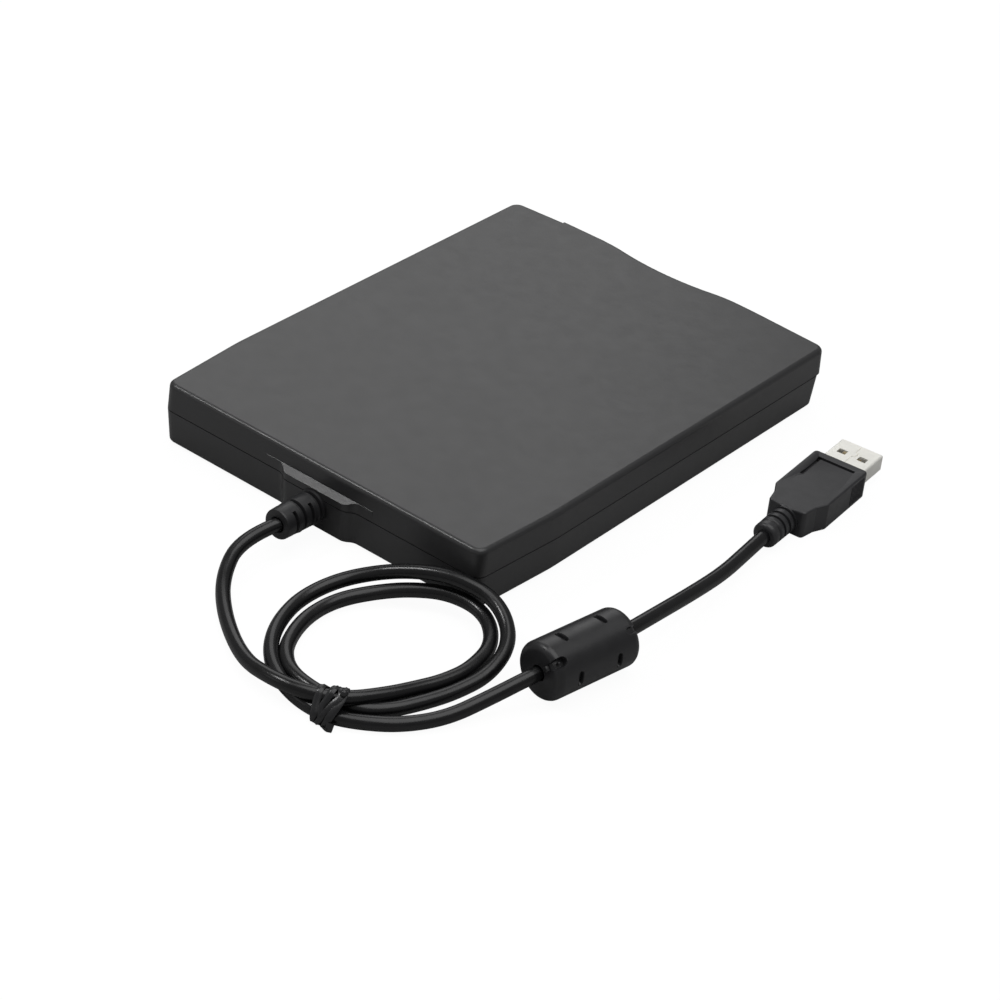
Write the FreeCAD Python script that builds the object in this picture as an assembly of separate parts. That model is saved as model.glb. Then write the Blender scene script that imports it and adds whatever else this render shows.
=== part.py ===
import FreeCAD, Part
import math
import os

# A slim external floppy disk drive with its lead, bead and plug. Millimetres, +Z up.
# The slot faces -Y, the cable leaves the rear wall towards +Y, and the feet stand on z = 0.
# The drive is at rest with no disk in it: holder raised, door closed, button in.

V = FreeCAD.Vector
ORIGIN = V(0, 0, 0)
UP = V(0, 0, 1)
ALONG_X = V(1, 0, 0)
ALONG_Y = V(0, 1, 0)
SIDES = (-1, 1)
TOUCH = 1e-4          # two places closer than this are one

# ---- clearances and laps ----
FIT = 0.05            # shaft in a bore, radial
PILOT_FIT = 0.02      # screw in its pilot hole, radial
SEAT_GAP = 0.1        # still piece in its seat
SLIDE_GAP = 0.3       # sheet beside sheet on moving pieces
PIN_PLAY = 0.12       # pin in a slot, each side
LAP = 0.2             # how far the parts of one piece run into each other
WIRE_SIDES = 12       # flat sides that stand for a spring wire's round
PAST = 1.0            # how far a cut reaches past what it cuts

# ---- the disk that the drive takes ----
DISC_HALF = 45.0
DISC_T = 3.3
DISC_LEN = 94.0
HUB_FROM_LEADING_EDGE = 46.5
TRACK0_R = 39.5       # outermost track
STROKE = 14.8         # from the outermost track to the innermost
LIFT = 2.2            # how far the disk drops
BAY_PLAY = 0.85       # height to spare round the disk in its holder
DISC_REST = 0.5       # the disk's underside above the holder's lips when it is down
HUB_BELOW_DISC = 0.5
SIDE_PLAY = 0.3       # disk beside the holder's wall

# ---- sheet metal ----
SHEET_T = 0.5
CHASSIS_T = 0.8
CHASSIS_RISE = 1.0    # chassis plate above the case floor
BUTTON_TRAVEL = 4.4   # the slide plate's travel: its slots fall one in two
SLIDE_ABOVE_HOLDER = 0.35
PIN_R = 0.9
PIN_BELOW = 1.5       # holder pins below the top of the bay
PIN_FROM_FRONT = 18.0
PIN_FROM_REAR = 13.0
HOLDER_PAST_DISC = 1.6
HOLDER_LIP = 2.0      # width of the lips that carry the disk
SLIDE_PAST_HOLDER = 2.0
CHEEK_PAST_SLIDE = 2.0
FLANGE_BELOW = 2.4    # the slide plate's flanges reach this far below its lowered slots
FLANGE_LAP = 1.0
SLIDE_WINDOW_X = 16.0
SLIDE_WINDOW_EDGE = 7.0
SLIDE_WINDOW_FRONT = 12.0
SLIDE_WINDOW_REAR = 6.0
RUNNER_L = 8.0        # the slide plate runs on the chassis on two ears a side
RUNNER_FRONT = 30.4
RUNNER_REAR = 20.0
CUTOUT_ROOM = 5.0     # room beside the head arm
CUTOUT_FRONT = 6.0
CUTOUT_REAR = 5.0

# ---- case ----
FRONT_Y = -70.25      # front corners of the upper shell
BROW_OUT = 1.5        # how far the brow stands in front of them
LOWER_SET_BACK = 0.95
WALL = 1.6
FOOT_H = 0.8
SPLIT_H = 9.3         # parting line above the underside
SPLIT_GROOVE = 0.25   # open height of the parting groove
RIM_INSET = 0.02      # the rims stand in from the outline by this
CORNER_R = 3.0
TAPER = 1.8           # how much each side has come in at the rear
TAPER_LEN = 27.35
TAPER_R = 60.0
UPPER_DRAFT = 0.25    # how far the top edge stands in from the parting line
LOWER_DRAFT = 0.6
TOP_ROUND = 1.3
BOTTOM_ROUND = 0.9
TONGUE_T = 0.7
TONGUE_H = 0.9
TONGUE_ROOT_H = 1.6
TONGUE_START = 6.0    # behind the bezel's face
RECESS_HALF = 22.0    # half width of the finger recess
RECESS_DEPTH = 2.0
RECESS_TURN = 15.5    # where the recess changes from hollow to round
BROW_BEND = 8.0       # length of the bend beside the recess
ARC_SHARE = 0.96      # the front edge's arcs use this much of the room for them
BOSS_ARC_SHARE = 0.98
REAR_BAY = 10.45      # from the chassis to the rear wall
POST_GAP = 0.4        # side post beside the slide plate's flange
POST_TO_WALL = 0.2
SIDE_POST_R = 1.85
SIDE_POST_FROM_FRONT = 20.25
REAR_POST_R = 2.4
REAR_POST_IN = 2.2
REAR_POST_FORWARD = 2.55
POST_UP = 0.2         # how far the posts run into the ceiling and the floor
CASE_SCREW_R = 0.76
CASE_SCREW_HEAD_R = 1.6
CASE_SCREW_HEAD_H = 1.0
CASE_SCREW_SUNK = 0.15
CASE_SCREW_UP = 3.4   # how far a case screw reaches into the upper post
PILOT_DEEPER = 0.6
DRIVE_R = 0.55        # recess for the screwdriver
DRIVE_DEPTH = 0.55
FOOT_R = 4.5
FOOT_SEAT = 0.5
FOOT_ROUND = 0.3
FOOT_FROM_SIDE = 12.0
FOOT_FROM_FRONT = 13.75
FOOT_FROM_REAR = 13.55
CHASSIS_SCREW_R = 0.86
CHASSIS_SCREW_HEAD_R = 1.7
CHASSIS_SCREW_HEAD_H = 0.9
CHASSIS_SCREW_DEPTH = 0.3    # screw end above the case floor
CHASSIS_SCREW_FROM_SIDE = 6.4
CHASSIS_SCREW_FROM_FRONT = 10.1
CHASSIS_SCREW_FROM_REAR = 6.0
CHASSIS_BOSS_R = 2.6

# ---- bezel, door and button ----
BEZEL_SET_BACK = 1.65
BEZEL_T = 1.4
BEZEL_GAP = 0.2
EAR_T = 0.7
EAR_L = 9.0
EAR_H = 3.5
EAR_RISE = 2.5
DISC_SET_BACK = 1.0   # disk's outer edge behind the bezel's face
SLOT_RISE = 0.1       # slot floor above the holder's lips
SLOT_PLAY = 0.15
SLOT_SIDE = 0.6
SLOT_BEVEL_H = 0.35
SLOT_BEVEL_D = 0.5
LIP_H = 2.1           # height of the lower shell's front lip
BROW_DEPTH = 2.3      # height of the upper shell's front wall over the bezel
FLAP_T = 0.7
FLAP_GAP = 0.3        # door behind the bezel
FLAP_AXIS_UP = 0.75   # door pin above the slot
FLAP_SHORT = 0.35     # door's lower edge above the slot floor
FLAP_SIDE = 0.6
FLAP_PIN_R = 0.55
FLAP_TO_HOLDER = 0.5
BARREL_T = 0.45
BARREL_HALF = 3.0
BARREL_IN = 6.0
BARREL_WEB = 0.9
EYE_REAR = 1.3
EYE_TOP = 1.1
FLAP_SPRING_X = 16.0
FLAP_SPRING_L = 4.0
FLAP_SPRING_WIRE = 0.15
FLAP_SPRING_GAP = 0.07
FLAP_SPRING_TURNS = 8
FLAP_SPRING_ROOM = 0.5
BUTTON_W = 13.0
BUTTON_H = 4.0
BUTTON_BELOW_SLOT = 0.7
BUTTON_PROUD = 0.6
BUTTON_GAP = 0.25
BUTTON_ROUND = 0.35
BUTTON_BACK = 0.5     # from the bezel's back to the button's bracket when it is out
BRACKET_IN = 0.6      # the bracket is this much smaller than the button
BRACKET_SIDE = 1.0
BRACKET_L = 6.0
LIP_PAST_BUTTON = 0.7 # the brow's lip reaches past the button
LIGHT_FROM_SIDE = 5.0
LIGHT_W = 3.0
LIGHT_H = 1.6
LENS_PROUD = 0.15
LENS_BACK = 0.8
STEM_D = 1.8

# ---- springs of the slide plate ----
SPRING_R = 0.9
SPRING_WIRE = 0.2
SPRING_TURNS = 16
SPRING_FROM_SIDE = 5.0
SPRING_RISE = 1.4
SPRING_L = 22.0
SPRING_BEFORE_HUB = 4.9
HOOK_HALF = 1.2
HOOK_OVER = 1.2
TAB_T = 1.2
TAB_BELOW = 1.0
TAB_OVER = 0.9
TAB_ROOT = 3.6

# ---- trigger lever ----
LEVER_FROM_SIDE = 8.0
LEVER_BEHIND_DISC = 8.0
LEVER_RISE = 0.4
LEVER_T = 1.2
LEVER_R = 2.6
LEVER_ROOT_HALF = 2.1
LEVER_TIP_HALF = 1.0
LEVER_NOSE_R = 1.4
LEVER_REACH = 13.0
LEVER_IN_PATH = 2.0   # how far its nose stands in the disk's path
PIVOT_R = 1.2
PIVOT_FOOT = 0.9
PIVOT_CAP = 0.7
PIVOT_CAP_T = 0.5
PIVOT_PLAY = 0.2
LEVER_SPRING_WIRE = 0.18
LEVER_SPRING_GAP = 0.27
LEVER_SPRING_L = 3.0
LEVER_SPRING_TURNS = 6
LEVER_SPRING_RISE = 1.0

# ---- spindle ----
MOTOR_BOARD_T = 0.8
BOARD_PAST_ROTOR = 2.8
BOARD_REAR_PAST = 1.2
CORE_RISE = 0.45
CORE_T = 0.6
WINDING_T = 0.4
ROTOR_GAP = 0.25      # rotor over the windings
ROTOR_T = 0.6
ROTOR_TO_NOSE = 1.9
RIM_T = 1.4
MAGNET_T = 1.0
AIR_GAP = 0.9         # magnet to stator
HUB_R = 11.0
HUB_T = 0.8
SHAFT_R = 1.5
SHAFT_OVER_HUB = 1.1
SHAFT_BELOW = 0.6
BEARING_R = 3.6
BEARING_BELOW = 0.4
BEARING_OVER = 0.4
TEETH = 12
TOOTH_W = 1.6
TOOTH_GAP = 1.2
TOOTH_TIP = 0.8
YOKE_T = 2.8
COIL_W = 3.0
COIL_SHARE = (0.36, 0.83)   # a winding's ends along its tooth, from the bearing to the rim
DRIVE_PIN_R = 0.8
DRIVE_PIN_X = 9.0
DRIVE_PIN_H = 1.6

# ---- head positioner ----
ROD_R = 1.2
ROD_X = (-15.0, 11.0)
ROD_RISE = 0.6
ROD_PAST = 3.0
ROD_BEFORE = 4.0
CLAMP_HALF = 2.0
CLAMP_L = 2.0
CLAMP_END = 0.2
CLAMP_OVER = 0.9
CARRIAGE_RISE = 0.35
CARRIAGE_BELOW_DISC = 0.35
CARRIAGE_EDGE = 3.0
NOSE_HALF = 6.5
NOSE_FRONT = 3.6      # from the head's middle to the nose's front
NOSE_POCKET_HALF = 4.2
NOSE_POCKET_D = 1.4
NOSE_POCKET_FRONT = 6.0
NOSE_POCKET_REAR = 2.0
BLOCK_BEHIND = 2.4    # block behind the disk at the innermost track
FORK_T = 2.0
FORK_OVER = 1.3
SCREW_R = 1.2
SCREW_NECK = 0.3      # how much thinner its journal is
SCREW_BESIDE = 0.9    # stepper motor beside the carriage
SCREW_BEHIND = 0.6    # screw's bearing behind the disk holder
BEARING_L = 2.0
BEARING_HALF = 2.6
BEARING_TOP = 1.8
JOURNAL_OUT = 0.4
FOLLOWER_HALF = 0.8
FOLLOWER_FRONT = 0.2
FOLLOWER_REAR = 0.3
FOLLOWER_TOP = 0.8
FINGER_HALF = 0.5
FINGER_H = 0.4
FINGER_ROOM = 2.4
STEPPER_L = 10.0
STEPPER_RISE = 0.1
STEPPER_HEADROOM = 0.5
STEPPER_FLANGE_T = 0.8
STEPPER_FLANGE_TOP = 4.0
SCREW_IN_MOTOR = 2.0
ARM_REACH = 32.0      # pivot to upper head
ARM_RISE = 0.35       # arm above the slide plate's underside
ARM_T = 1.0
ARM_HALF = 4.5
HEAD_RISE = 4.343     # how far the arm holds the upper head up
ARM_HEADROOM = 0.15
ARM_PIN_R = 0.8
ARM_EYE_T = 0.7
ARM_WINDOW_HALF = 2.6
ARM_WINDOW_END = 7.0
HEAD_GAP = 0.25       # between the heads with no disk in
HEAD_HALF = 2.4
HEAD_L = 6.0
HEAD_H = 3.0

# ---- switches ----
SWITCH_FROM_SIDE = 7.0
SWITCH_SPOTS = (("disk", -1, 33.6), ("protect", -1, 21.6), ("density", 1, 27.6))
SWITCH_W = 6.0
SWITCH_D = 4.8
SWITCH_BELOW_DISC = 0.7
SWITCH_FLOOR = 0.7
PLUNGER_R = 0.9
PLUNGER_OVER = 0.5    # plunger's top above the disk's underside
PLUNGER_TRAVEL = 0.8
PLUNGER_ROUND = 0.3

# ---- boards ----
BOARD_RISE = 0.7
BOARD_T = 0.8
BOARD_FOOT_R = 1.4
BOARD_FOOT_IN = 2.0
BOARD_FOOT_FROM_SIDE = 12.0
CONTROL_FROM_SIDE = 1.4
CONTROL_BESIDE = 3.0
CONTROL_BEHIND_DISC = 12.5
CONTROL_FROM_REAR = 1.5
LARGE_CHIP = (13.0, 9.0)          # width and depth
LARGE_CHIP_PINS = 12              # a side
LARGE_CHIP_AT = (2.5, 5.6)        # from the board's middle and its front edge
SMALL_CHIP = (8.0, 3.6)
SMALL_CHIP_PINS = 6
SMALL_CHIP_AT = (4.5, 4.0)        # from the board's middle and its rear edge
BRIDGE_CHIP = (7.5, 5.6)
BRIDGE_CHIP_PINS = 8
CHIP_STAND = 0.15
CHIP_TOP = 1.5
LEG_OUT = 0.7
LEG_H = 0.4
LEG_SHARE = 0.5       # of the pitch
INTERFACE_X0 = 6.0
INTERFACE_FROM_POST = 5.5
INTERFACE_GAP = 0.6
BOARD_BOSS_R = 1.6
BOARD_BOSS_IN = 3.0
CRYSTAL_L = 6.5
CRYSTAL_HALF = 1.6
CRYSTAL_H = 2.4
CRYSTAL_IN = 2.0
HEADER_IN = 1.5
HEADER_W = 8.0
HEADER_HALF = 2.2
HEADER_H = 3.0
FLAT_T = 0.3
FLAT_W = 4.0
FLAT_IN = 1.0
FLAT_ON_BOARD = 0.4
INNER_LEADS = 4
INNER_LEAD_R = 0.45
INNER_LEAD_GAP = 0.15
INNER_LEAD_RISE = 2.2
INNER_LEAD_X = 0.4
INNER_LEAD_Y = 0.3

# ---- cable exit ----
CORD_D = 3.5
EXIT_X = -0.9
EXIT_BELOW_SPLIT = 3.0
BOSS_HALF = 8.5       # flat half width of the boss round the exit
BOSS_FLANK = 4.5
BOSS_OUT = 1.7
BOSS_OVER_RELIEF = 0.9    # outer edge of the slope on top of the boss
BOSS_SLOPE_H = 1.2        # how much higher that slope meets the wall
BOSS_LAP = 0.02
RELIEF_R = 4.0
RELIEF_LEN = 12.4
RELIEF_ROOT = 0.3     # how much thicker it is at the case
RELIEF_WAIST = 0.15   # how much thinner before its end
RELIEF_END_IN = 0.75
RELIEF_END_L = 0.6
RELIEF_NECK_R = 3.4
RELIEF_STAND = 0.05   # relief's shoulder off the boss
RELIEF_FLANGE = 0.4
RELIEF_FLANGE_L = 1.6
RELIEF_PITCH = 2.7
RELIEF_GROOVES = 4
RELIEF_GROOVE_W = 0.85
RELIEF_GROOVE_D = 0.8
RELIEF_GROOVE_AT = 1.0
RELIEF_GROOVE_SHARE = 0.72
MOUTH_L = 1.0         # depth of the mouth round the cable at the relief's end
MOUTH_GAP = 0.12
CRADLE_HALF = 6.0
CRADLE_T = 1.0
CRADLE_HOLE = 0.8     # how much smaller its hollow is than the relief's neck

# ---- lead, tie and bead; every y is measured from the rear wall ----
LEAD_POINTS = (
    (0.6, 22.65, 5.9),
    (-3.6, 34.35, 3.0),
    (-13.4, 44.85, 1.85),
    (-27.4, 53.85, 2.7),
    (-38.0, 56.55, 4.6),
)
LEAD_START_X = 0.1
TAIL_POINTS = (
    (-60.0, 51.75, 1.8),
    (-66.9, 45.15, 1.8),
    (-71.9, 35.15, 2.1),
    (-75.9, 24.85, 4.2),
)
PLUG_RUN_POINTS = (
    (-84.9, -24.65, 6.7),
    (-84.6, -38.85, 5.2),
    (-84.0, -52.65, 4.0),
    (-82.5, -63.85, 3.6),
)
BEND_SHARE = 0.45     # of the shorter run beside each bend
COIL_AT = (-46.0, 26.95)
# each turn's distance from the coil's middle: a mean, and waves of (count, height, direction)
OUTER_TURN = (25.0, ((1, 0.6, 11.0), (2, 2.2, 63.6), (3, 1.9, -22.4)))
INNER_TURN = (21.5, ((1, 0.5, 202.0), (2, 3.2, 80.7), (3, 0.8, -9.6)))
COIL_STEPS = 24
COIL_TOP_NEAR = 7.0   # height beside the tie
COIL_TOP_FAR = 11.6   # height beside the case
COIL_TO_CASE = 0.4
TIE_POS = (-52.4, 52.75)
TIE_YAW = 116.0
TIE_W = 3.6
TIE_T = 0.5
TIE_HALF = 8.0
TIE_FLOOR_HALF = 9.0
BEAD_R = 7.25
BEAD_LEN = 25.5
BEAD_ROUND = 1.8
BEAD_POS = (-80.45, 14.25)
BEAD_YAW = -9.2       # degrees from -Y
BEAD_ROLL = 43.0      # its seam leans to the outside
BEAD_SLOT_AT = (6.6, 18.6)
BEAD_SLOT_TURN = 47.0
BEAD_SLOT_HALF = 1.9
BEAD_SLOT_W = 1.4
BEAD_SLOT_D = 0.9
BEAD_WINDOW_HALF = 1.1
BEAD_WINDOW_Y = (0.4, 3.4)
BEAD_WINDOW_D = 1.5
BEAD_WINDOW_ROUND = 0.7

# ---- plug ----
PLUG_POS = (-78.2, -111.65)
PLUG_YAW = 4.9
PLUG_HALF = 7.65
PLUG_T = 7.5
PLUG_NECK_HALF = 5.2
PLUG_BODY = 20.3
PLUG_SHOULDER = 7.7
PLUG_KINK_IN = 1.6
PLUG_KINK_SHARE = 0.42
PLUG_ROUND = 0.5
PLUG_CORNER = 1.1
PLUG_RELIEF = 10.4
PLUG_RELIEF_R = 3.5
PLUG_RELIEF_WAIST = 0.15
PLUG_RELIEF_END = 0.8
PLUG_RINGS = 4
PLUG_RING_PITCH = 2.3
PLUG_RING_AT = 0.5
PLUG_RING_W = 0.8
PLUG_RING_D = 0.65
PLUG_MARK_D = 0.35
PLUG_MARK_W = 0.85
PLUG_MARK_HALF = 5.2
PLUG_MARK_AT = 2.6
PLUG_MARK_L = 10.0
PLUG_RIBS = 8
PLUG_RIB_PITCH = 0.75
PLUG_RIB_W = 0.35
PLUG_RIB_D = 0.25
PLUG_RIB_AT = 1.6
PLUG_RIB_END = 1.0
SHELL_W = 12.0
SHELL_H = 4.5
SHELL_OUT = 11.3
SHELL_IN = 8.3
SHELL_T = 0.3
SHELL_ROUND = 0.5
SHELL_WINDOW_X = 2.9
SHELL_WINDOW_HALF = 1.15
SHELL_WINDOW_Y = (4.9, 7.0)
INSERT_T = 1.9
INSERT_BACK = 0.5
INSERT_ROOT = 0.6
CONTACT_W = 1.0
CONTACT_T = 0.15
CONTACT_XS = (-3.5, -1.0, 1.0, 3.5)
CONTACT_BACK = (1.5, 2.5, 2.5, 1.5)

# ---- heights, from the table up ----
UNDERSIDE = FOOT_H
SPLIT_Z = UNDERSIDE + SPLIT_H
FLOOR_Z = UNDERSIDE + WALL
PLATE_Z = FLOOR_Z + CHASSIS_RISE
DECK_Z = PLATE_Z + CHASSIS_T
MOTOR_BOARD_Z = DECK_Z + MOTOR_BOARD_T
CORE_Z = MOTOR_BOARD_Z + CORE_RISE
CORE_TOP = CORE_Z + CORE_T
ROTOR_Z = CORE_TOP + WINDING_T + ROTOR_GAP
HUB_Z = ROTOR_Z + ROTOR_T
DISC_DOWN_Z = HUB_Z + HUB_BELOW_DISC
MEDIUM_Z = DISC_DOWN_Z + DISC_T / 2
BAY_FLOOR = DISC_DOWN_Z + LIFT - DISC_REST
BAY_TOP = BAY_FLOOR + DISC_T + BAY_PLAY
HOLDER_TOP = BAY_TOP + SHEET_T
SLIDE_Z = HOLDER_TOP + SLIDE_ABOVE_HOLDER
SLIDE_TOP = SLIDE_Z + SHEET_T
CHASSIS_TOP = SLIDE_Z - SEAT_GAP
ARM_Z = SLIDE_Z + ARM_RISE
ARM_EYE_R = ARM_PIN_R + ARM_EYE_T
ARM_PIVOT_Z = ARM_Z + ARM_T - ARM_EYE_R
ARM_DROP = math.degrees(math.asin(HEAD_RISE / ARM_REACH))
CEILING_Z = ARM_Z + ARM_T + ARM_HEADROOM
TOP_Z = CEILING_Z + WALL
PIN_Z = BAY_TOP - PIN_BELOW
FLANGE_Z = PIN_Z - LIFT - FLANGE_BELOW
SLOT_Z = BAY_FLOOR + SLOT_RISE
SLOT_H = BAY_TOP - BAY_FLOOR + SLOT_PLAY
SLOT_TOP = SLOT_Z + SLOT_H
FLAP_AXIS_Z = SLOT_TOP + FLAP_AXIS_UP
FLAP_H = FLAP_AXIS_Z - SLOT_Z - FLAP_SHORT
BUTTON_Z = SLOT_Z - BUTTON_BELOW_SLOT - BUTTON_H
LIGHT_Z = BUTTON_Z + BUTTON_H / 2
BROW_Z = TOP_Z - BROW_DEPTH
SPRING_Z = DECK_Z + SPRING_RISE
LEVER_Z = BAY_FLOOR + LEVER_RISE
ROD_Z = DECK_Z + ROD_RISE + ROD_R
CARRIAGE_Z = DECK_Z + CARRIAGE_RISE
NOSE_TOP = DISC_DOWN_Z - CARRIAGE_BELOW_DISC
STEPPER_R = (CEILING_Z - STEPPER_HEADROOM - DECK_Z - STEPPER_RISE) / 2
SCREW_Z = DECK_Z + STEPPER_RISE + STEPPER_R
SWITCH_TOP = DISC_DOWN_Z - SWITCH_BELOW_DISC
PLUNGER_TOP = DISC_DOWN_Z + PLUNGER_OVER
BOARD_Z = DECK_Z + BOARD_RISE
BOARD_TOP = BOARD_Z + BOARD_T
EXIT_Z = SPLIT_Z - EXIT_BELOW_SPLIT
BOSS_TOP_Z = EXIT_Z + RELIEF_R + BOSS_OVER_RELIEF
BOSS_CREST_Z = BOSS_TOP_Z + BOSS_SLOPE_H

# ---- widths, from the disk outwards ----
HOLDER_IN = DISC_HALF + SIDE_PLAY
HOLDER_OUT = HOLDER_IN + SHEET_T
FLANGE_IN = HOLDER_OUT + SLIDE_GAP
FLANGE_OUT = FLANGE_IN + SHEET_T
CHEEK_IN = FLANGE_OUT + SLIDE_GAP
CHEEK_OUT = CHEEK_IN + SHEET_T
SIDE_POST_X = FLANGE_OUT + POST_GAP + SIDE_POST_R
INNER_HALF = SIDE_POST_X + SIDE_POST_R + POST_TO_WALL
CASE_HALF = INNER_HALF + WALL
REAR_HALF = CASE_HALF - TAPER
REAR_POST_X = REAR_HALF - WALL - REAR_POST_R - REAR_POST_IN
BEZEL_HALF = CHEEK_OUT + SEAT_GAP + EAR_T
OPENING_HALF = BEZEL_HALF + BEZEL_GAP
SLOT_HALF = DISC_HALF + SLOT_SIDE
BUTTON_X0 = RECESS_HALF
BUTTON_X1 = BUTTON_X0 + BUTTON_W
LIP_X = BUTTON_X1 + LIP_PAST_BUTTON
LIGHT_X = LIGHT_FROM_SIDE - DISC_HALF
FOOT_X = CASE_HALF - FOOT_FROM_SIDE
CHASSIS_SCREW_X = CHEEK_OUT - CHASSIS_SCREW_FROM_SIDE
SPRING_X = CHEEK_OUT - SPRING_FROM_SIDE
LEVER_X = LEVER_FROM_SIDE - DISC_HALF
SWITCH_X = DISC_HALF - SWITCH_FROM_SIDE
CUTOUT_HALF = ARM_HALF + CUTOUT_ROOM
BLOCK_X0 = ROD_X[0] - CARRIAGE_EDGE
BLOCK_X1 = ROD_X[1] + CARRIAGE_EDGE
SCREW_X = BLOCK_X1 + SCREW_BESIDE + STEPPER_R
CONTROL_X0 = CONTROL_FROM_SIDE - CHEEK_OUT
CONTROL_X1 = BLOCK_X0 - CONTROL_BESIDE
INTERFACE_X1 = REAR_POST_X - INTERFACE_FROM_POST
HEADER_X0 = INTERFACE_X0 + HEADER_IN
CRYSTAL_X = INTERFACE_X1 - CRYSTAL_IN - CRYSTAL_L

# ---- lengths, from the front to the rear ----
BROW_Y = FRONT_Y - BROW_OUT
BEZEL_Y = FRONT_Y + BEZEL_SET_BACK
BEZEL_BACK = BEZEL_Y + BEZEL_T
CHASSIS_Y0 = BEZEL_BACK + SEAT_GAP
FLAP_Y = BEZEL_BACK + FLAP_GAP
FLAP_AXIS_Y = FLAP_Y + FLAP_T / 2 + FLAP_PIN_R
DISC_FRONT_Y = BEZEL_Y + DISC_SET_BACK
DISC_REAR_Y = DISC_FRONT_Y + DISC_LEN
HOLDER_Y0 = FLAP_AXIS_Y + FLAP_H + FLAP_TO_HOLDER
HOLDER_Y1 = DISC_REAR_Y + HOLDER_PAST_DISC
SLIDE_Y0 = HOLDER_Y0 + BUTTON_TRAVEL
SLIDE_Y1 = HOLDER_Y1 + SLIDE_PAST_HOLDER
BRACKET_Y = BEZEL_BACK + BUTTON_TRAVEL + BUTTON_BACK
PIN_YS = (HOLDER_Y0 + PIN_FROM_FRONT, HOLDER_Y1 - PIN_FROM_REAR)
HUB_Y = DISC_REAR_Y - HUB_FROM_LEADING_EDGE
ROTOR_R = TRACK0_R - STROKE - NOSE_FRONT - ROTOR_TO_NOSE
MAGNET_R = ROTOR_R - RIM_T
STATOR_R = MAGNET_R - MAGNET_T - AIR_GAP
HEAD_Y = HUB_Y + TRACK0_R
CUTOUT_Y = HEAD_Y - STROKE - CUTOUT_FRONT
SPRING_Y0 = HUB_Y - SPRING_BEFORE_HUB
SPRING_Y1 = SPRING_Y0 + SPRING_L
LEVER_Y = DISC_REAR_Y + LEVER_BEHIND_DISC
ARM_PIVOT_Y = HEAD_Y + ARM_REACH
CARRIAGE_Y1 = ARM_PIVOT_Y + CARRIAGE_EDGE
BLOCK_Y0 = DISC_REAR_Y + STROKE + BLOCK_BEHIND
ROD_Y0 = HEAD_Y - STROKE + ROD_BEFORE
ROD_Y1 = CARRIAGE_Y1 + ROD_PAST
SCREW_Y0 = HOLDER_Y1 + SCREW_BEHIND
FOLLOWER_Y = SCREW_Y0 + BEARING_L + FOLLOWER_FRONT + FOLLOWER_HALF + STROKE
MOTOR_Y0 = FOLLOWER_Y + FOLLOWER_HALF + FOLLOWER_REAR
MOTOR_Y1 = MOTOR_Y0 + STEPPER_L
CHASSIS_Y1 = max(ROD_Y1, MOTOR_Y1) + SLIDE_GAP + LAP
CONTROL_Y0 = DISC_REAR_Y + CONTROL_BEHIND_DISC
CONTROL_Y1 = CHASSIS_Y1 - CONTROL_FROM_REAR
INNER_REAR = CHASSIS_Y1 + REAR_BAY
REAR_Y = INNER_REAR + WALL
TAPER_Y = REAR_Y - TAPER_LEN
INTERFACE_Y0 = CHASSIS_Y1 + INTERFACE_GAP
INTERFACE_Y1 = INNER_REAR - INTERFACE_GAP
INTERFACE_Y = (INTERFACE_Y0 + INTERFACE_Y1) / 2
RELIEF_FLANGE_R = RELIEF_R + RELIEF_FLANGE
RELIEF_FLANGE_Y = INNER_REAR - SEAT_GAP - RELIEF_FLANGE_L
RELIEF_Y = REAR_Y + BOSS_OUT + RELIEF_STAND
RELIEF_END = V(EXIT_X, RELIEF_Y + RELIEF_LEN, EXIT_Z)
SLIDE_SLOT_LEN = math.hypot(BUTTON_TRAVEL, LIFT)
SLIDE_SLOT_TILT = math.degrees(math.atan2(-LIFT, BUTTON_TRAVEL))
CORD_R = CORD_D / 2
COIL_MID = V(COIL_AT[0], REAR_Y + COIL_AT[1], 0)
TIE_AT = V(TIE_POS[0], REAR_Y + TIE_POS[1], 0)
BEAD_REAR = V(BEAD_POS[0], REAR_Y + BEAD_POS[1], BEAD_R)
PLUG_AT = V(PLUG_POS[0], REAR_Y + PLUG_POS[1], 0)
PLUG_MID_Z = PLUG_T / 2


# ---- small helpers ----
def box(x0, x1, y0, y1, z0, z1):
    return Part.makeBox(x1 - x0, y1 - y0, z1 - z0, V(x0, y0, z0))


def side_box(side, x0, x1, y0, y1, z0, z1):
    """A box between two distances from the middle, on one side of the drive."""
    near, far = sorted((side * x0, side * x1))
    return box(near, far, y0, y1, z0, z1)


def block_at(x, y, half_x, half_y, z0, z1):
    return box(x - half_x, x + half_x, y - half_y, y + half_y, z0, z1)


def post(r, x, y, z0, z1):
    return Part.makeCylinder(r, z1 - z0, V(x, y, z0), UP)


def rod_x(r, x0, x1, y, z):
    return Part.makeCylinder(r, x1 - x0, V(x0, y, z), ALONG_X)


def rod_y(r, x, y0, y1, z):
    return Part.makeCylinder(r, y1 - y0, V(x, y0, z), ALONG_Y)


def tube(r_out, r_in, x, y, z0, z1):
    return post(r_out, x, y, z0, z1).cut(post(r_in, x, y, z0, z1))


def slot_x(r, y, z, length, tilt, x0, x1):
    """A slot cut along X: round ends, its far end `length` away at `tilt` degrees from +Y."""
    near = rod_x(r, x0, x1, y, z)
    far = rod_x(r, x0, x1, y + length, z)
    shape = near.multiFuse([far, box(x0, x1, y, y + length, z - r, z + r)])
    shape.rotate(V(x0, y, z), ALONG_X, tilt)
    return shape


def fuse(shapes):
    return shapes[0].multiFuse(shapes[1:]).removeSplitter()


def cut_all(shape, cuts):
    return shape.cut(cuts[0].multiFuse(cuts[1:])).removeSplitter()


def mirrored(shape):
    """The shape and its twin on the other side of the drive."""
    return [shape, shape.mirror(ORIGIN, ALONG_X)]


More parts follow.
